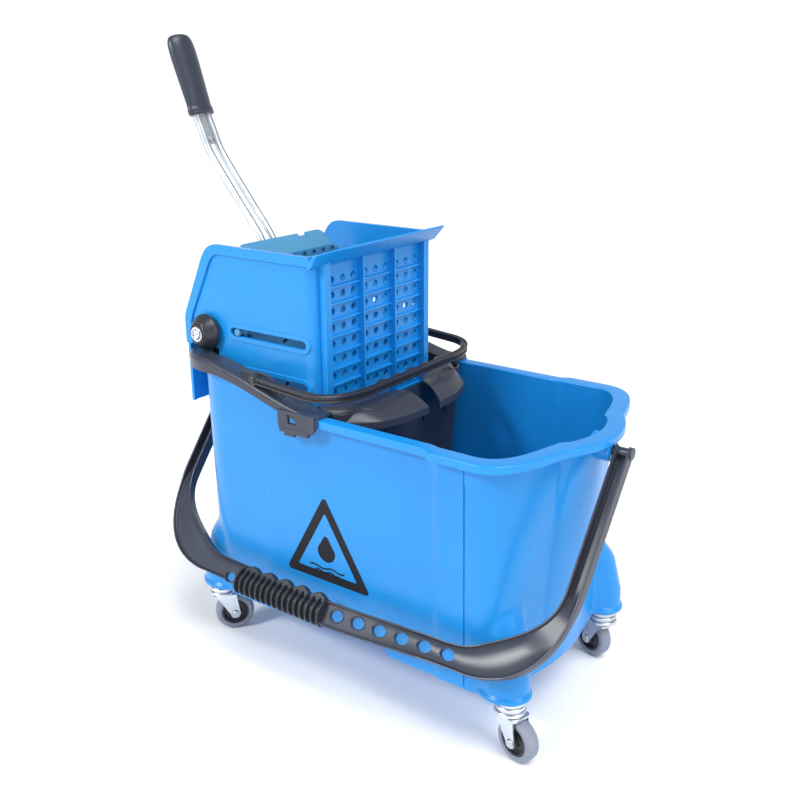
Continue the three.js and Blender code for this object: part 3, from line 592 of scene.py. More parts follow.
# -------- casters
COLLAR = [                        # bearing collar: radius and height
    (0, 53.3), (14.6, 53.3), (16.6, 53.6), (17.4, 54.3), (17.5, 57.2), (16.9, 58.0), (15.0, 58.3),
    (14.8, 59.6), (16.2, 59.9), (16.8, 60.6), (16.8, 63.6), (16.2, 64.3), (14.9, 64.6),
    (14.8, 65.8), (16.6, 66.1), (17.2, 66.8), (17.2, 69.4), (16.6, 70.1), (14.4, 70.4),
    (14.2, 72.6), (5.2, 72.6), (5.2, 79.8), (4.6, 80.4), (0, 80.4)]
# Halves of profiles that are the same on both sides of the wheel's middle.
BOLT = [(0, -15), (3.4, -15), (4.4, -14.7), (4.9, -14.1), (5, -13.4), (3, -13.35)]
HUB = [(17.2, 7.4), (16.2, 7.7), (15.2, 7.2), (14.4, 4.4), (13.2, 3.6), (8.4, 4.4), (7.2, 6),
       (7.0, 9.6), (6.4, 10), (3.3, 10)]
TREAD = [(17.5, -8.0), (18.6, -8.3), (20.4, -8.5), (22.0, -8.2), (23.4, -7.2), (24.4, -5.6),
         (24.9, -3.2)]


def make_caster(corner, cx, cy, degrees):
    a = math.radians(degrees)
    c, s = math.cos(a), math.sin(a)
    name, fork, wheel = f"caster_{corner}_", f"fork_{corner}", f"wheel_{corner}"

    def turned(x, y, z):
        return (cx + x * c - y * s, cy + x * s + y * c, z)

    def on_axle(u, v, w):
        return turned(CASTER_TRAIL + u, w, WHEEL_RADIUS + v)

    collar = lathe(name + "race", COLLAR, turned, 56)
    finish_piece(collar, "bucket", ZINC, [name + "stem"])
    refined(name + "fork", 0.7, fork, ZINC, 3, 25)
    bolt = lathe(name + "bolt", there_and_back(BOLT), on_axle, 32)
    finish_piece(bolt, fork, DARK_ZINC, [name + "axle"])
    hub = closed_lathe(name + "hub", there_and_back(HUB), on_axle, 40)
    finish_piece(hub, wheel, BLACK, [name + "wheel"])
    tread = closed_lathe(name + "tread", there_and_back_from(TREAD, 25.0, 0), on_axle, 72)
    finish_piece(tread, wheel, TYRE, [name + "tyre"])


def make_casters():
    for corner, place in CASTER_PLACE.items():
        make_caster(corner, *place)


# -------- carrying bail
def on_bail(x, s, n):
    """Bail plane to design frame: s runs away from the pivots, n is its outer side."""
    y = -math.sin(BAIL_TILT) * s - math.cos(BAIL_TILT) * n
    z = BAIL_PIVOT_Z - math.cos(BAIL_TILT) * s + math.sin(BAIL_TILT) * n
    return (x, y, z)


BAIL_OUT = 285.6
BAIL_IN = 268.6
BAIL_TOP = 5.0                    # arm beyond the pivot
BAIL_BEND = 150                   # where an arm's straight run ends
BAIL_LEVEL = 36                   # steps along half of the crossbar
GRIP_START = -130.0
GRIP_END = 3.0
GRIP_AXIS = 263.2
BAIL_PIVOT = (0, 0, BAIL_PIVOT_Z)


def bail_edges():
    """Matching points on the bail's outer and inner edges, from the front end to the middle."""
    def straight(x):
        return [(x, lerp(-BAIL_TOP, BAIL_BEND, i / 20)) for i in range(20)]

    def crossbar(x, s, middle):
        shares = [i / BAIL_LEVEL for i in range(1, BAIL_LEVEL + 1)]
        return [(lerp(x, 0, t), lerp(s, middle, smooth(t))) for t in shares]

    outer = straight(BAIL_OUT)
    outer += bezier((BAIL_OUT, BAIL_BEND), (BAIL_OUT, 218), (258, 264), (195, 268.5), 34)
    outer += crossbar(195, 268.5, 277)
    inner = straight(BAIL_IN)
    inner += bezier((BAIL_IN, BAIL_BEND), (BAIL_IN, 190), (246, 206), (205, 230), 22)
    inner += bezier((205, 230), (184, 243), (176, 242), (160, 243.5), 12)[1:]
    return outer, inner + crossbar(160, 243.5, 248)


def bail_section(outer, inner, channel, pinch):
    """Closed section across the bail: beads along both edges, thin web between them.

    channel = 1 is the arms' deep channel, 0 the flat corners and crossbar.
    """
    (xo, so), (xi, si) = outer, inner
    width = math.hypot(xo - xi, so - si)
    ux, us = (xi - xo) / width, (si - so) / width
    front, back = lerp(5.2, 7.0, channel), lerp(-5.0, -7.0, channel)
    web, rear_web = lerp(2.2, -3.0, channel), lerp(-2.2, -6.4, channel)
    bead = [(0.0, back + 0.7), (0.0, front - 0.8), (0.25, front - 0.25), (0.8, front), (1.7, front),
            (2.25, front - 0.25), (2.5, front - 0.8), (2.7, web + 0.5), (3.4, web)]
    under = [(3.4, rear_web), (2.7, rear_web - 0.4), (2.5, back + 0.7), (1.9, back), (0.6, back)]
    crown = 2.4 * (1 - channel) * smooth((width - 27) / 12)
    middle = [(width * f, web + crown * (1 - (2 * f - 1) ** 2))
              for f in (0.2, 0.35, 0.5, 0.65, 0.8)]
    loop = bead + middle + [(width - d, n) for d, n in reversed(bead)]
    loop += [(width - d, n) for d, n in reversed(under)] + under
    points = []
    for d, n in loop:
        squeeze = (d - width / 2) * (1 - 0.34 * pinch) + width / 2
        points.append(on_bail(xo + ux * squeeze, so + us * squeeze, n))
    return points


BAIL_HOLES = [(x, 261 - 0.038 * (x - 20), 9.2, 6.4) for x in (20, 49.4, 78.8, 108.2, 137.6, 167)]
BAIL_HOLES.append((-145, 264.0, 8.2, 6.0))


def oval(x, s, wide, high, n):
    return [on_bail(x + wide * math.cos(a), s + high * math.sin(a), n) for a in full_turn(36)]


def oval_bead(x, s, wide, high):
    """Raised rim round one of the bail's oval holes."""
    steps = ((0.0, 1.5), (0.1, 3.1), (0.7, 3.5), (1.4, 3.1), (1.7, 1.5))
    return loft("oval_bead", [oval(x, s, wide + d, high + d, n) for d, n in steps], closed=True)


def make_bail():
    outer, inner = bail_edges()
    count = len(outer)
    rings = []
    for sign in (1, -1):
        order = range(count) if sign > 0 else range(count - 2, -1, -1)
        for i in order:
            (xo, so), (xi, si) = outer[i], inner[i]
            channel = 1 - smooth((so - BAIL_BEND) / 38)
            x = sign * (xo + xi) / 2
            pinch = smooth((x - GRIP_START - 1) / 5) * smooth((GRIP_END - 1 - x) / 5)
            rings.append(bail_section((sign * xo, so), (sign * xi, si), channel, pinch))
    bail = loft("carrying_bail_frame", rings)
    tools = [loft("hole", [oval(*hole, -14), oval(*hole, 14)]) for hole in BAIL_HOLES]
    tools += [lathe("bore", [(5.3, x), (5.3, x + 40)], along_x(*BAIL_PIVOT), 32)
              for x in (-300, 260)]
    cut(bail, join("bail_cuts", tools))
    bail = join("carrying_bail_frame", [bail] + [oval_bead(*hole) for hole in BAIL_HOLES])
    finish_piece(bail, "carrying_bail", GREY, ["bucket_bail"], 30)
    make_bail_grip()
    profile = [(0, 252), (5, 252), (5, 285.9), (6.6, 285.9), (6.8, 286.3), (6.4, 287.0), (5, 287.3),
               (0, 287.3)]
    for side, label in ((-1, "rear"), (1, "front")):
        pin = lathe(f"bail_rivet_{label}", mirrored(side, profile), along_x(*BAIL_PIVOT), 32)
        finish_piece(pin, "bucket", GREY, [f"bail_pivot_{label}"])


def make_bail_grip():
    """Ribbed sleeve: thin fins round an oval core, with a scalloped web for the fingers."""
    fins = 16
    start, end = GRIP_START + 1.8, GRIP_END - 1.8
    stations = [(GRIP_START + 0.4, 10.0), (GRIP_START + 0.5, 10.4)]
    for i in range(fins):
        x = start + i * ((end - start) / (fins - 1))
        stations += [(x + step, radius) for step, radius in (
            (-1.3, 10.6), (-1.1, 15.2), (-0.6, 15.9), (0.6, 15.9), (1.1, 15.2), (1.3, 10.6))]
    stations += [(GRIP_END - 0.5, 10.4), (GRIP_END - 0.4, 10.0)]
    rings = []
    for x, radius in stations:
        rings.append([on_bail(x, GRIP_AXIS + radius * math.cos(a), radius * 0.9 * math.sin(a))
                      for a in full_turn(40)])
    web = []
    for i in range(71):
        t = i / 70
        x = lerp(GRIP_START + 2, GRIP_END - 2, t)
        scallop = 2.6 * math.cos(2 * math.pi * (5 * t - 0.5))
        height = 18.2 + scallop - 8 * max(0.0, abs(2 * t - 1) - 0.94) / 0.06
        half = [(9, 5.2), (height - 1.4, 5.2), (height - 0.4, 4.6), (height, 3.2)]
        web.append([on_bail(x, GRIP_AXIS - s, n) for s, n in there_and_back(half)])
    grip = join("bail_ribbed_grip", [loft("fins", rings), loft("finger_web", web)])
    finish_piece(grip, "carrying_bail", DARK_GRIP, ["bail_grip"], 30)


# -------- inner bucket
BAND_END = -12.0
INNER_TOP = dict(side=126.0, back=-223.0, front=2.0, round=44.0, nose=22.0)
INNER_LOW = dict(side=120.0, back=-220.0, front=-6.0, round=40.0, nose=20.0)
INNER_FLOOR = 215.0


def band_path(outward):
    side = LIP["side"] + outward
    radius = LIP["round"] + outward
    half = [(lerp(BAND_END, LIP["back"] + LIP["round"], i / 30), side) for i in range(31)]
    half += arc(LIP["back"] + LIP["round"], side - radius, radius, 90, 180, 20)[1:]
    half += [(LIP["back"] - outward, lerp(side - radius, 0, i / 10)) for i in range(1, 10)]
    return there_and_back(half)


def band_top(x):
    return RIM_TOP + rise(x) + 4 + 3 * smooth((-150 - x) / 30)


DECK_WIDTH = 24.5


def make_band():
    """Strap round the rim with a rounded shoulder and a deck over to the inner bucket's wall."""
    outer, lip, edge = band_path(3.3), band_path(0.3), band_path(-DECK_WIDTH)
    rings = []
    for (x, y), (u, v), (s, t) in zip(outer, lip, edge):
        low = LIP_BOTTOM + rise(x) + 0.6
        high = band_top(x)
        rim = RIM_TOP + rise(x) + 0.5

        def across(d, x=x, y=y, u=u, v=v):
            return (x + (u - x) * d / 3, y + (v - y) * d / 3)

        shape = [(2.4, low), (0.7, low), (0.15, low + 0.3), (0.0, low + 1.0), (0.0, high - 5.0),
                 (0.35, high - 3.2), (1.4, high - 1.5), (3.0, high - 0.5), (5.2, high),
                 (9.0, high - 0.1)]
        ring = [across(d) + (z,) for d, z in shape]
        ring += [(s, t, high - 1.2), (s, t, rim), (u, v, rim), (u, v, low + 0.6)]
        rings.append(ring)
    return loft("band", rings)


def rounded_box(plan, inset):
    side, back, front = plan["side"] - inset, plan["back"] + inset, plan["front"] - inset
    radius, nose = plan["round"] - inset, plan["nose"] - inset
    half = [(back, -t * (side - radius) / 8) for t in range(8)]
    half += arc(back + radius, -side + radius, radius, 180, 270, 16)
    half += [(lerp(back + radius, front - nose, i / 24), -side) for i in range(1, 24)]
    half += arc(front - nose, -side + nose, nose, 270, 360, 10)
    half += [(front, -(side - nose) * (1 - i / 10)) for i in range(1, 10)]
    return there_and_back_from(half, front)


def make_inner_shell():
    rings = [[(x, y, INNER_FLOOR) for x, y in rounded_box(INNER_LOW, 6)]]
    for share, inset in ((0.0, 1.5), (0.015, 0.3), (0.04, 0.0), (0.5, 0.0), (0.94, 0.0)):
        plan = blend(INNER_LOW, INNER_TOP, share)
        rings.append([(x, y, lerp(INNER_FLOOR, RIM_TOP + rise(x) * share ** 2, share) + 0.6)
                      for x, y in rounded_box(plan, inset)])
    for inset, drop in ((0.0, 0.6), (0.5, 0.0), (2.0, 0.0), (2.5, 0.6)):
        rings.append([(x, y, RIM_TOP + rise(x) + 0.8 - drop)
                      for x, y in rounded_box(INNER_TOP, inset)])
    for share, inset in ((0.94, 2.5), (0.5, 2.5), (0.06, 2.5), (0.03, 4.0)):
        plan = blend(INNER_LOW, INNER_TOP, share)
        rings.append([(x, y, lerp(INNER_FLOOR + 3, RIM_TOP + rise(x) * share ** 2, share))
                      for x, y in rounded_box(plan, inset)])
    rings.append([(x, y, INNER_FLOOR + 3) for x, y in rounded_box(INNER_LOW, 9)])
    return loft("inner_shell", rings)


LEAF = [((-34, -121), (-14, -128)), ((-18, -100), (4, -110)), ((-12, -78), (25, -87)),
        ((-8, -56), (36, -56)), ((-4, -36), (39.5, -32)), ((6, -22), (40, -12))]


def resample(points, count):
    """Evenly spaced points on a smooth curve through the given ones."""
    p = np.array(points, float)
    pad = np.vstack([2 * p[0] - p[1], p, 2 * p[-1] - p[-2]])
    fine = []
    for i in range(1, len(pad) - 2):
        for t in np.linspace(0, 1, 24, endpoint=False):
            a, b, c, d = pad[i - 1], pad[i], pad[i + 1], pad[i + 2]
            fine.append(0.5 * (2 * b + (c - a) * t + (2 * a - 5 * b + 4 * c - d) * t * t
                               + (3 * b - a - 3 * c + d) * t ** 3))
    fine.append(p[-1])
    fine = np.array(fine)
    length = np.concatenate([[0], np.cumsum(np.linalg.norm(np.diff(fine, axis=0), axis=1))])
    targets = np.linspace(0, length[-1], count)
    return np.stack([np.interp(targets, length, fine[:, k]) for k in range(p.shape[1])], 1)


LEAF_EDGE = [(0.995, 333.0), (1.0, 332.2), (1.0, 324.6), (0.99, 324.0), (0.95, 324.0),
             (0.94, 324.6), (0.94, 330.0)]
LEAF_STEPS = 28


def make_leaf(sign):
    """Pouring leaf: crowned, falling to a rolled outer edge, with a raised open-ring mark."""
    inner, outer = (resample([pair[k] for pair in LEAF], LEAF_STEPS) for k in (0, 1))

    def height(t):
        return 349.5 - 16.5 * t ** 1.8 + 1.4 * math.sin(math.pi * t)

    def across(start, end, t, z):
        return (lerp(start[0], end[0], t), -sign * lerp(start[1], end[1], t), z)

    rings = []
    for p, q in zip(inner, outer):
        ring = [across(p, q, t, height(t)) for t in (0, 0.15, 0.35, 0.55, 0.75, 0.9, 0.97)]
        ring += [across(p, q, t, z) for t, z in LEAF_EDGE]
        rings.append(ring + [across(p, q, t, height(t) - 3) for t in (0.75, 0.55, 0.35, 0.15, 0)])
    mark = []
    for i in range(34):
        a = math.radians(lerp(-40, 250, i / 33))
        along = (LEAF_STEPS - 1) * (0.52 + 0.17 * math.cos(a))
        t = 0.47 + 0.19 * math.sin(a)
        low = int(along)
        p, q = (lerp(edge[low], edge[low + 1], along - low) for edge in (inner, outer))
        mark.append(across(p, q, t, height(t)))
    return join("leaf", [loft("leaf", rings), tube("mark", mark, 0.8, 8)])


LUG_CRESTS = [(-140, 371), (-136, 375), (-130, 378), (-122, 379.7), (-112, 380), (-100, 380),
              (-92, 378.6), (-86, 376), (-80, 371), (-75, 364), (-70, 358)]


def make_lug(sign):
    """Lug that carries one end of the small bail, with its bore."""
    rings = []
    for x, crest in LUG_CRESTS:
        low = RIM_TOP + rise(x) + 1.2
        rings.append([(x, sign * y, z) for y, z in (
            (135.0, low), (135.0, crest - 0.8), (135.8, crest), (139.2, crest),
            (140.0, crest - 0.8), (140.0, low))])
    lug = loft("lug", rings)
    cut(lug, lathe("bore", mirrored(sign, [(3.3, 120), (3.3, 150)]), along_y(*INNER_PIVOT), 24))
    return lug


def make_clip(sign):
    """Tab that hangs down outside the rim's lip, with its window, thumb lip and lower tooth."""
    plate = slab_y("clip", [(-67, 348), (-67, 329), (-65, 327), (-18, 327), (-14, 331), (-14, 348)],
                   sign * 147.6, sign * 152.2)
    cut(plate, block("window", -52, -40, sign * 138.6, sign * 161.2, 334, 344.5, 0))
    bevel(plate, 0.7, 2)
    return join("clip", [
        plate, block("lip", -65, -22, sign * 148.0, sign * 152.9, 322.6, 329, 1.3),
        block("tooth", -59, -43, sign * 148.2, sign * 151.6, 318.6, 323.5, 1.0)])


def make_inner_bucket():
    shell = make_inner_shell()
    slots = [block("slot", -20, 12, y - 2, y + 2, 292, 312, 0) for y in (-80, -43, 36, 80)]
    cut(shell, join("slots", slots))
    parts = [make_band(), shell]
    for sign in (-1, 1):
        parts += [make_leaf(sign), make_clip(sign), make_lug(sign),
                  block("ledge", -60, -24, sign * 104, sign * 122.5, 280, 291.5)]
    bucket = join("inner_bucket_moulding", parts)
    finish_piece(bucket, "inner_bucket", GREY, ["inner_bucket"], 34)
    profile = [(0, 132), (3, 132), (3, 150.2), (4.2, 150.4), (4.4, 151), (3.6, 151.5), (0, 151.5)]
    for sign, label in SIDES:
        pin = lathe(f"small_bail_pin_{label}", mirrored(sign, profile), along_y(*INNER_PIVOT), 24)
        finish_piece(pin, "inner_bucket", BLACK, [f"inner_bail_pin_{label}"])


SMALL_BAIL_TILT = math.radians(4.3)


def on_small_bail(x, y, z):
    c, s = math.cos(SMALL_BAIL_TILT), math.sin(SMALL_BAIL_TILT)
    return (INNER_BAIL_X + x * c + z * s, y, INNER_BAIL_Z - x * s + z * c)


def make_small_bail():
    """Small bail of the inner bucket: grooved bar with finger bumps along its front."""
    def edge(side, front):
        half = [(lerp(-4, 70, i / 16), side) for i in range(16)]
        half += bezier((70, side), (98, side), (front, side - 22), (front, 76), 26)
        half += [(front, lerp(76, 0, i / 76)) for i in range(1, 76)]
        return there_and_back_from(half, front, 0)

    rings = []
    for (x, y), (u, v) in zip(edge(150, 119), edge(142.5, 111)):
        bump = 0.0
        if abs(y) < 70 and x > 100:
            bump = 4.6 * max(0.0, math.cos(2 * math.pi * y / 28)) ** 0.6
        width = math.hypot(u - x, v - y)
        ux, uy = (u - x) / width, (v - y) / width
        far = width + bump
        shape = [(0.7, -4.5), (0, -3.8), (0, -1.9), (0.3, -1.6), (1.9, -1.4), (1.9, 1.2),
                 (0.3, 1.4), (0, 1.7), (0, 3.8), (0.7, 4.5), (2.4, 4.5), (2.8, 3.4),
                 (width - 2.4, 3.4), (width - 2.0, 4.5), (far - 0.6, 4.5), (far, 3.9), (far, 1.2),
                 (width, 0.6), (width, -3.8), (width - 0.7, -4.5)]
        rings.append([on_small_bail(x + ux * d, y + uy * d, z) for d, z in shape])
    bail = loft("small_bail_bar", rings)
    tools, ends = [], []
    eye = [(3.4, 142.6), (6.2, 142.6), (7.0, 143.4), (7.0, 149.0), (6.2, 149.9), (3.4, 149.9)]
    for sign in (-1, 1):
        bore = mirrored(sign, [(3.3, 136), (3.3, 156)])
        tools.append(lathe("bore", bore, along_y(*INNER_PIVOT), 24))
        ends.append(closed_lathe("eye", mirrored(sign, eye), along_y(*INNER_PIVOT), 36))
    cut(bail, join("bores", tools))
    bail = join("small_bail_bar", [bail] + ends)
    finish_piece(bail, "inner_bucket_bail", BLACK, ["inner_bail"], 35)


# -------- wringer
CHEEK_OUT = 112.0
CHEEK_IN = 108.0
WRINGER_TOP = 512.0
WRINGER_BOTTOM = 292.0
GRID_WALL_X = -46.6
GRID_X = -37.6
GRID_TOP = 473.7
GRID_PITCH = 19.0
COLUMN_EDGES = (-90, -30, 30, 90)
CHEEK_REAR = -249
SLOT_ENDS = (-168, -61)
SLOT_LEVELS = (412, 362)


def slot_loop(z, radius):
    return arc(SLOT_ENDS[1], z, radius, -90, 90, 14) + arc(SLOT_ENDS[0], z, radius, 90, 270, 14)


def slot_border(z, y0, y1):
    """Low plateau that runs round a guide slot."""
    steps = ((4.9, 0.0), (4.9, 0.9), (5.3, 1.0), (9.9, 1.0), (10.6, 0.85), (10.9, 0.0))
    loops = [[(x, lerp(y0, y1, h), w) for x, w in slot_loop(z, r)] for r, h in steps]
    return loft("slot_border", loops, closed=True)


def cheek_edge(outer):
    """Top and rear edge of a cheek, from the notch up and over to the front."""
    if outer:
        return ([(CHEEK_REAR, 387), (CHEEK_REAR, 414)]
                + bezier((CHEEK_REAR, 416), (-248.6, 424), (-244, 431), (-240, 440), 8)
                + bezier((-217, 488), (-211, 501), (-204, 512), (-190, 512), 10))
    return ([(-238, 387), (-238, 410)]
            + bezier((-238, 412), (-237.6, 420), (-233, 428), (-229, 436), 8)
            + bezier((-206, 481), (-201, 492), (-196, 501), (-184, 501), 10))


def wringer_walls():
    """Cheeks and grid wall: a U seen from above, cut to the cheeks' outline, slots and bores."""
    corner, t = 11.0, CHEEK_OUT - CHEEK_IN
    x, y = GRID_WALL_X - corner, CHEEK_OUT - corner
    plan = [(CHEEK_REAR, -CHEEK_OUT)] + arc(x, -y, corner, 270, 360, 12)
    plan += arc(x, y, corner, 0, 90, 12) + [(CHEEK_REAR, CHEEK_OUT), (CHEEK_REAR, CHEEK_IN)]
    plan += arc(x, y, corner - t, 90, 0, 12) + arc(x, -y, corner - t, 360, 270, 12)
    plan.append((CHEEK_REAR, -CHEEK_IN))
    walls = loft("walls", [[(x, y, z) for x, y in plan] for z in (WRINGER_BOTTOM, WRINGER_TOP)])
    outline_xz = [(CHEEK_REAR, 312)] + cheek_edge(True)
    outline_xz += [(-20, 512), (-20, 280), (-196, 280), (-196, 387), (-245, 387), (-245, 312)]
    cut(walls, slab_y("keep", outline_xz, -150, 150), operation="INTERSECT")
    tools = [slab_y("slot", slot_loop(z, 4.7), -150, 150) for z in SLOT_LEVELS]
    tools.append(lathe("bore", [(6.4, -150), (6.4, 150)], along_y(*PIVOT), 32))
    for z in hole_levels():
        for edge in COLUMN_EDGES[:3]:
            for offset in (13, 32, 51):
                tools.append(lathe("hole", [(4.4, GRID_WALL_X - 8), (4.4, GRID_WALL_X + 4)],
                                   along_x(0, edge + offset, z), 20))
    cut(walls, join("wall_cuts", tools))
    bevel(walls, 0.5, 2, 40)
    return walls


def grid_levels():
    levels = [GRID_TOP - GRID_PITCH * i for i in range(10)]
    return [z for z in levels if z > WRINGER_BOTTOM + 5]


def hole_levels():
    levels = [GRID_TOP + 8] + [z - GRID_PITCH / 2 for z in grid_levels()]
    return [z for z in levels if z > WRINGER_BOTTOM + 12]


def wringer_lip():
    """Flared lip over the grid; its ends are mitred back to the cheeks' borders."""
    def section(y, share):
        flare = [(-41.4, 501.0), (-39.6, 501.4), (-38.4, 502.4), (-24.8, 517.4), (-24.2, 518.6),
                 (-24.6, 519.6), (-26.0, 520), (-28.4, 519.2)]
        flare = [(lerp(-45.0, x, share), lerp(min(z, WRINGER_TOP), z, share)) for x, z in flare]
        return [(x, y, z) for x, z in [(-48.6, 498)] + flare + [(-48.6, 506)]]

    stations = [(-114.8, 0.30), (-113.5, 0.46), (-106, 0.74), (-92, 0.94)]
    rings = [section(y, share) for y, share in stations]
    rings += [section(y, 1.0) for y in np.linspace(-76, 76, 12)]
    rings += [section(y, 1.0) for y in (88, 104, 112)]
    rings += [section(113.6, 0.92), section(114.4, 0.6)]
    return loft("flared_lip", rings)


def cheek_border(sign):
    """Raised border along the cheek's rear and top edges."""
    outline_xz = cheek_edge(True) + [(-46, 512), (-46, 501)] + cheek_edge(False)[::-1]
    border = slab_y("border", outline_xz, sign * 111.2, sign * 115)
    bevel(border, 1.1, 3, 40)
    return border


def drilled_floor():
    """Basket floor with drain holes."""
    low = WRINGER_BOTTOM
    floor = block("floor", -196, GRID_WALL_X - 2, -CHEEK_IN - 1, CHEEK_IN + 1, low, low + 4, 0)
    tools = [lathe("drain", [(4.0, low - 3), (4.0, low + 8)],
                   along_z(-180 + 22 * i, -88 + 22 * k, 0), 14) for i in range(6) for k in range(9)]
    cut(floor, join("drains", tools))
    return floor


HUB_PROFILE = [                   # round hub outside a cheek: radius and distance from the middle
    (0, 116.1), (20.4, 116.1), (21.2, 116.5), (21.5, 117.4), (21.5, 119.6), (21.1, 121.0),
    (20.2, 122.6), (18.2, 125.4), (16.4, 127.8), (14.9, 129.6), (13.9, 130.7), (13.1, 131.2),
    (12.4, 131.0), (12.0, 130.6), (11.6, 131.0), (11.2, 132.0), (10.4, 132.4), (0, 132.4)]
STUD_PROFILE = [
    (0, 100), (6.9, 100), (7.5, 100.6), (7.5, 105), (7, 105.5), (4.2, 105.5), (4.2, 113.2),
    (3.6, 113.9), (0, 114)]
STUD_X = -162


def make_wringer():
    parts = [wringer_walls(), wringer_lip(), drilled_floor(), cheek_border(-1), cheek_border(1)]
    low, top = WRINGER_BOTTOM, WRINGER_TOP - 8
    back = GRID_WALL_X - 1
    for y in COLUMN_EDGES:
        parts.append(block("stile", back, GRID_X, y - 1.3, y + 1.3, low, top, 0.4))
    for z in grid_levels():
        parts.append(block("rib", back, GRID_WALL_X + 3.4, -90, 90, z - 1.2, z + 1.2, 0.4))
    for sign in (-1, 1):
        parts.append(block("side_stile", back - 3, GRID_X, sign * 90, sign * 99, low, top, 0.9))
    width = CHEEK_IN + 0.6
    apron = block("apron", -248.6, -245, -width, width, 312.4, 407.6, 0)
    cut(apron, block("gap", -260, -240, -30, 30, 300, 352, 0))
    bevel(apron, 0.7, 2, 40)
    parts.append(apron)
    parts += [slot_border(z, sign * 108.6, sign * 113.1) for sign in (-1, 1) for z in SLOT_LEVELS]
    finish_piece(join("wringer_moulding", parts), "wringer", BLUE, ["wringer_frame"], 34)
    make_press_plate()
    for sign, label in SIDES:
        for z, level in zip(SLOT_LEVELS, ("upper", "lower")):
            pin = lathe(f"guide_stud_{level}_{label}", mirrored(sign, STUD_PROFILE),
                        along_y(STUD_X, 0, z), 32)
            finish_piece(pin, "press", BLUE_PLATE, [f"guide_pin_{level}_{label}"])
        hub = lathe(f"pivot_hub_{label}", mirrored(sign, HUB_PROFILE), along_y(*PIVOT), 64)
        finish_piece(hub, "lever", BLACK, [f"pivot_bush_{label}"], 28)


PLATE_FRONT = -172
PLATE_BACK = -176
BLIND_ROW = 482                   # height of the row of holes that does not go through


def make_press_plate():
    """Drilled plate whose top folds back; the fold's ends are rounded off."""
    rings = []
    end = np.linspace(66, 105.4, 16)
    for y in np.concatenate([np.linspace(-105.4, -66, 16), np.linspace(-55, 55, 11), end]):
        drop = min(1.0, max(0.0, abs(y) - 66) / 24) ** 2
        bend = 488 - 9 * drop - 0.5 * max(0.0, abs(y) - 90)
        top = (-172.4 - 18.6 * (1 - drop), bend + 0.6 + 17.4 * (1 - drop))
        shape = [(-172.6, 300)] + [(PLATE_FRONT, z) for z in (300.6, 360, 420, bend - 7)]
        shape += bezier((PLATE_FRONT, bend - 4), (PLATE_FRONT, bend - 1), (-172.1, bend),
                        (-172.3, bend + 0.3), 5)
        shape += [top, (top[0] - 2.0, top[1] - 0.6), (top[0] - 3.4, top[1] - 2.6)]
        shape += bezier((-176.4, bend - 2.4), (PLATE_BACK, bend - 3.4), (PLATE_BACK, bend - 5),
                        (PLATE_BACK, bend - 7), 5)
        shape += [(PLATE_BACK, z) for z in (420, 360, 300.6)] + [(-175.4, 300)]
        rings.append([(x, y, z) for x, z in shape])
    plate = loft("press_plate_moulding", rings)
    tools = [block("notch", -215, -186, 29, 45, 502, 520, 0)]
    holes = [(column * 21, 322 + row * GRID_PITCH, -190) for row in range(8)
             for column in range(-4, 5) if abs(column) != 3]
    holes += [(column * 18 + 2, BLIND_ROW, -174.8) for column in range(-4, 5)]
    tools += [lathe("hole", [(4, back), (4, -160)], along_x(0, y, z), 18) for y, z, back in holes]
    cut(plate, join("plate_cuts", tools))
    ribs = [block("rib", -178, -175, y - 8, y + 8, 302, 474, 0.8) for y in (-70, 70)]
    plate = join("press_plate_moulding", [plate] + ribs)
    finish_piece(plate, "press", BLUE_PLATE, ["press_plate"], 34)


# -------- lever
ROD_RADIUS = 4.9
ROD_Y = 9.7
GRIP_FOOT = (-318.8, 647.5)
GRIP_HEAD = (-353.0, 741.0)


def tube(name, path, radius, sides=20):
    """Round bar along a list of points."""
    p = np.array(path, float)
    tangents = np.gradient(p, axis=0)
    tangents /= np.linalg.norm(tangents, axis=1)[:, None]
    normal = np.cross(tangents[0], (0.0, 1.0, 0.0))
    if np.linalg.norm(normal) < 1e-3:
        normal = np.cross(tangents[0], (1.0, 0.0, 0.0))
    rings = []
    for point, t in zip(p, tangents):
        normal = normal - t * np.dot(normal, t)
        normal /= np.linalg.norm(normal)
        side = np.cross(t, normal)
        rings.append([tuple(point + radius * (math.cos(a) * normal + math.sin(a) * side))
                      for a in full_turn(sides)])
    return loft(name, rings)


GRIP_STATIONS = [                 # along the grip, half width and half thickness
    (0, 18.0, 8.0), (0.8, 19.4, 9.2), (2.4, 20.1, 9.9), (7.5, 20.1, 9.9), (9, 19.3, 9.4),
    (11, 18.9, 9.3), (20, 18.9, 9.9), (35, 19.2, 10.7), (50, 19.6, 11.4), (65, 20.0, 11.9),
    (78, 20.1, 12.0), (88, 19.5, 11.8), (94, 18.2, 11.0), (98, 16.0, 9.7), (100.2, 13.0, 7.6)]
GRIP_POWER = 1.08                 # leans the grip's oval towards a lens
SPRING_RADIUS = 11.5
SPRING_TURNS = 4
CROSS_HALF = 3.6                  # half the length and half the width of the screw's cross
CROSS_THIN = 0.65


def rod_leg(y):
    """Centre line of one leg of the lever's rod, from the shaft up into the grip."""
    return [(PIVOT_X, y, PIVOT_Z + 8.7), (PIVOT_X - 1, y, 440), (-208, y, 478), (-217.4, y, 503),
            (-250, y, 543), (-286, y, 587), (-301, y, 608), (-310, y, 628),
            (GRIP_FOOT[0], y, GRIP_FOOT[1]), (-334, y, 690)]


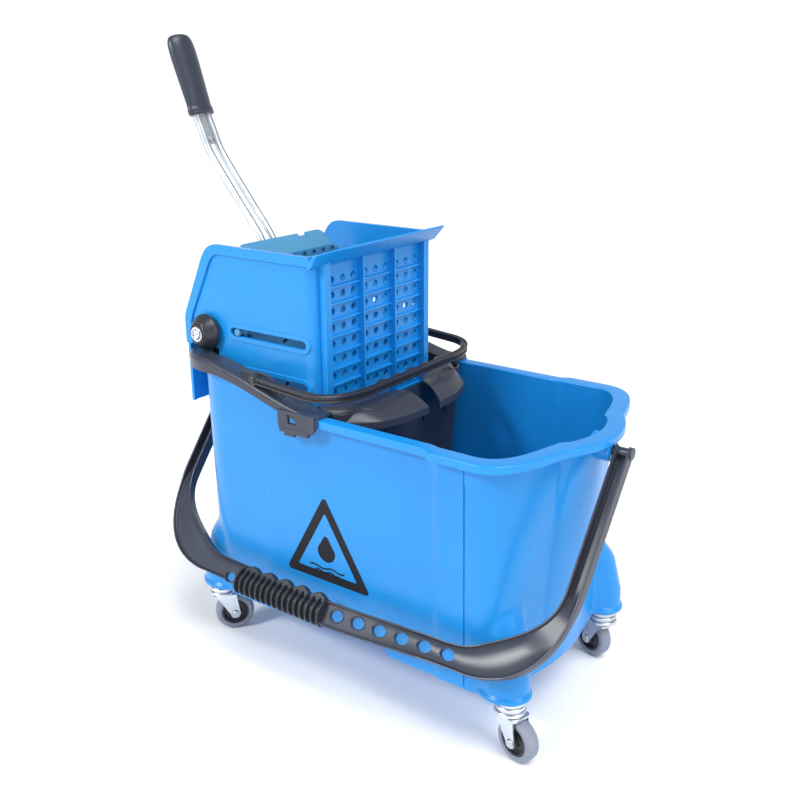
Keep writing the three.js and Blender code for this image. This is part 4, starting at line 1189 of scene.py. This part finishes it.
def make_lever():
    bend = [(-344, -7.8, 716), (-347.3, 0, 724), (-344, 7.8, 716)]
    path = rod_leg(-ROD_Y) + bend + rod_leg(ROD_Y)[::-1]
    rod = tube("lever_bent_rod", resample(path, 150), ROD_RADIUS, 24)
    finish_piece(rod, "lever", ZINC, ["lever_rod"], 40)

    dx, dz = GRIP_HEAD[0] - GRIP_FOOT[0], GRIP_HEAD[1] - GRIP_FOOT[1]
    length = math.hypot(dx, dz)
    tilt = math.atan2(-dx, dz)

    def on_grip(a, b, along):
        x = GRIP_FOOT[0] + a * math.cos(tilt) - along * math.sin(tilt)
        z = GRIP_FOOT[1] + a * math.sin(tilt) + along * math.cos(tilt)
        return (x, b, z)

    def bulge(size, share):
        return size * math.copysign(abs(share) ** GRIP_POWER, share)

    rings = [[on_grip(bulge(thick, math.cos(a)), bulge(wide, math.sin(a)), along)
              for a in full_turn(48)]
             for along, wide, thick in resample(GRIP_STATIONS + [(length + 1.9, 7, 4)], 60)]
    finish_piece(loft("lever_hand_grip", rings), "lever", GREY, ["lever_grip"], 40)

    refined("lever_web", 0.5, "lever", ZINC)
    screw = lathe("web_screw_head",
                  [(0, 1.5), (3.4, 1.5), (3.4, 2.6), (2.8, 3.8), (1.4, 4.35), (0, 4.4)],
                  lambda a, b, along: on_grip(along, a, -31 + b), 28)
    finish_piece(screw, "lever", DARK_ZINC, ["lever_web_screw"])
    refined("lever_shaft", 0.5, "lever", ZINC, 2, 50)
    for sign, label in SIDES:
        make_shaft_end(sign, label)


def make_shaft_end(sign, label):
    """Cam, washer, cross-headed screw and spring at one end of the lever's shaft."""
    refined(f"press_cam_{label}", 0.6, "lever", DARK_ZINC, 2, 40)
    washer = closed_lathe(f"pivot_plain_washer_{label}", mirrored(sign, [
        (3, 132.7), (8.7, 132.7), (9, 133.0), (9, 133.9), (8.7, 134.2), (3, 134.2)]),
        along_y(*PIVOT), 40)
    finish_piece(washer, "lever", ZINC, [f"pivot_washer_{label}"])
    head = lathe(f"pivot_cross_screw_{label}", mirrored(sign, [
        (0, 134.5), (6.6, 134.5), (6.6, 135.6), (6.1, 136.8), (4.8, 137.8), (2.6, 138.45),
        (0, 138.6)]), along_y(*PIVOT), 40)
    for dx, dz in ((CROSS_HALF, CROSS_THIN), (CROSS_THIN, CROSS_HALF)):
        cut(head, block("slot", PIVOT_X - dx, PIVOT_X + dx, sign * 136.6, sign * 142,
                        PIVOT_Z - dz, PIVOT_Z + dz, 0))
    finish_piece(head, "lever", ZINC, [f"pivot_screw_{label}"])
    coil = [(PIVOT_X + SPRING_RADIUS * math.cos(a), sign * (82 + a / (2 * math.pi) * 4.6),
             PIVOT_Z + SPRING_RADIUS * math.sin(a))
            for a in np.linspace(0, 2 * SPRING_TURNS * math.pi, 161)]
    spring = tube(f"torsion_spring_{label}", coil, 1.3, 10)
    finish_piece(spring, "wringer", ZINC, [f"return_spring_{label}"])


# -------- printed triangle
def make_mark():
    """Plain printed triangle on the right wall, with a water drop in place of any wording."""
    side, base_x, base_z = 126.0, -20.0, 139.0
    height = side * math.sqrt(3) / 2

    def on_wall(u, w):
        z = base_z + w
        x = base_x + u
        share = (z - SKIRT_BOTTOM) / (RIM_TOP - 10 - SKIRT_BOTTOM)
        y = -lerp(FOOTPRINT["side"], OPENING["side"] + WALL, share)
        return (x, y - 0.12, z), (x, y + 0.3, z)

    def plate(name, outer, inner=None):
        """Thin raised print inside a loop, or between two."""
        rings = list(zip(*(on_wall(*p) for p in outer)))
        if inner:
            rings[1:1] = list(zip(*(on_wall(*p) for p in inner)))
        return loft(name, rings, closed=bool(inner))

    def triangle(shrink, radius):
        centre = height / 3
        scale = 1 - shrink
        corners = [(-side / 2, 0), (side / 2, 0), (0, height)]
        loop = []
        for k, start in enumerate((210, 330, 90)):
            x, z = corners[k]
            x, z = x * scale, centre + (z - centre) * scale
            length = math.hypot(x, z - centre)
            pull = 1 - 2 * radius / length
            x, z = x * pull, centre + (z - centre) * pull
            loop += arc(x, z, radius, start - 60, start + 60, 8)
        return loop

    drop = []
    for a in full_turn(40):
        up = max(0.0, math.sin(a))
        r = 13 * (1 + 0.55 * up ** 6)
        drop.append((r * math.cos(a) * (1 - 0.35 * up ** 2), 38 + r * math.sin(a)))
    parts = [plate("frame", triangle(0, 4.0), triangle(0.30, 1.6)), plate("drop", drop)]
    for level, wide in ((17.5, 26), (12.5, 18)):
        wave = [(lerp(-wide, wide, i / 24), level + 1.3 * math.sin(i / 24 * 4 * math.pi))
                for i in range(25)]
        parts.append(plate("ripple", wave + [(x, z - 2.2) for x, z in reversed(wave)]))
    finish_piece(join("printed_triangle", parts), "bucket", PRINT, (), 40)


# -------- stage
CAMERA_TURN = (36.39, 18.72, -0.31)     # azimuth, elevation and roll in degrees
CAMERA_PLACE = (0.6609, -0.9105, 0.7108)
FLOOR_HALF = 120


def make_camera():
    azimuth, elevation, roll = (math.radians(v) for v in CAMERA_TURN)
    level = math.cos(elevation)
    back = Vector((math.sin(azimuth) * level, -math.cos(azimuth) * level, math.sin(elevation)))
    right = (-back).cross(Vector((0, 0, 1))).normalized()
    up = right.cross(-back)
    tilted = right * math.cos(roll) + up * math.sin(roll)
    up = up * math.cos(roll) - right * math.sin(roll)
    data = bpy.data.cameras.new("camera")
    data.sensor_width = 36.0
    data.lens = 45.0
    data.clip_end = 50.0
    camera = new_object("camera", data)
    matrix = Matrix((tilted, up, back)).transposed().to_4x4()
    matrix.translation = Vector(CAMERA_PLACE) + OFFSET
    camera.matrix_world = matrix
    bpy.context.scene.camera = camera


def add_light(name, place, target, size, power):
    data = bpy.data.lights.new(name, "AREA")
    data.shape = "RECTANGLE"
    data.size, data.size_y = size
    data.energy = power
    light = new_object(name, data)
    light.location = place
    light.rotation_euler = (Vector(target) - Vector(place)).to_track_quat("-Z", "Y").to_euler()


def add_sun(name, towards, strength, spread):
    data = bpy.data.lights.new(name, "SUN")
    data.energy = strength
    data.angle = math.radians(spread)
    sun = new_object(name, data)
    sun.rotation_euler = Vector(towards).to_track_quat("Z", "Y").to_euler()


def make_stage():
    mesh = bpy.data.meshes.new("floor")
    corners = [(x * FLOOR_HALF, y * FLOOR_HALF, 0) for x, y in ((-1, -1), (1, -1), (1, 1), (-1, 1))]
    mesh.from_pydata(corners, [], [(0, 1, 2, 3)])
    floor = new_object("floor", mesh)
    material, tree, shader = node_tree("pale_floor")
    shader.inputs["Roughness"].default_value = 0.8
    tint = add_noise(tree, 2.0, 2.0)
    pale = add_mix(tree, tint, (0.94, 0.94, 0.945, 1), (0.97, 0.97, 0.97, 1))
    tree.links.new(pale, shader.inputs["Base Color"])
    mesh.materials.append(material)
    world = bpy.data.worlds.new("studio")
    world.use_nodes = True
    tree = world.node_tree
    coords = tree.nodes.new("ShaderNodeTexCoord")
    split = add_node(tree, "ShaderNodeSeparateXYZ", {"Vector": coords.outputs["Generated"]})
    background = tree.nodes["Background"]
    background.inputs["Color"].default_value = (0.96, 0.98, 1.0, 1)
    glow = add_range(tree, split.outputs["Z"], 0.05, 0.45, 1.15, 0.42)
    tree.links.new(glow, background.inputs["Strength"])
    bpy.context.scene.world = world
    add_sun("sun", (0.80, -0.30, 1.6), 2.35, 35)
    add_light("key", (-1.0, -2.4, 2.05), (0, 0, 0.3), (0.6, 0.4), 54)
    add_light("fill", (2.4, -0.4, 1.2), (0, 0, 0.3), (0.9, 1.4), 13)
    bpy.context.scene.view_settings.view_transform = "Standard"


make_camera()
make_stage()
make_bucket()
make_casters()
make_bail()
make_inner_bucket()
make_small_bail()
make_wringer()
make_lever()
make_mark()
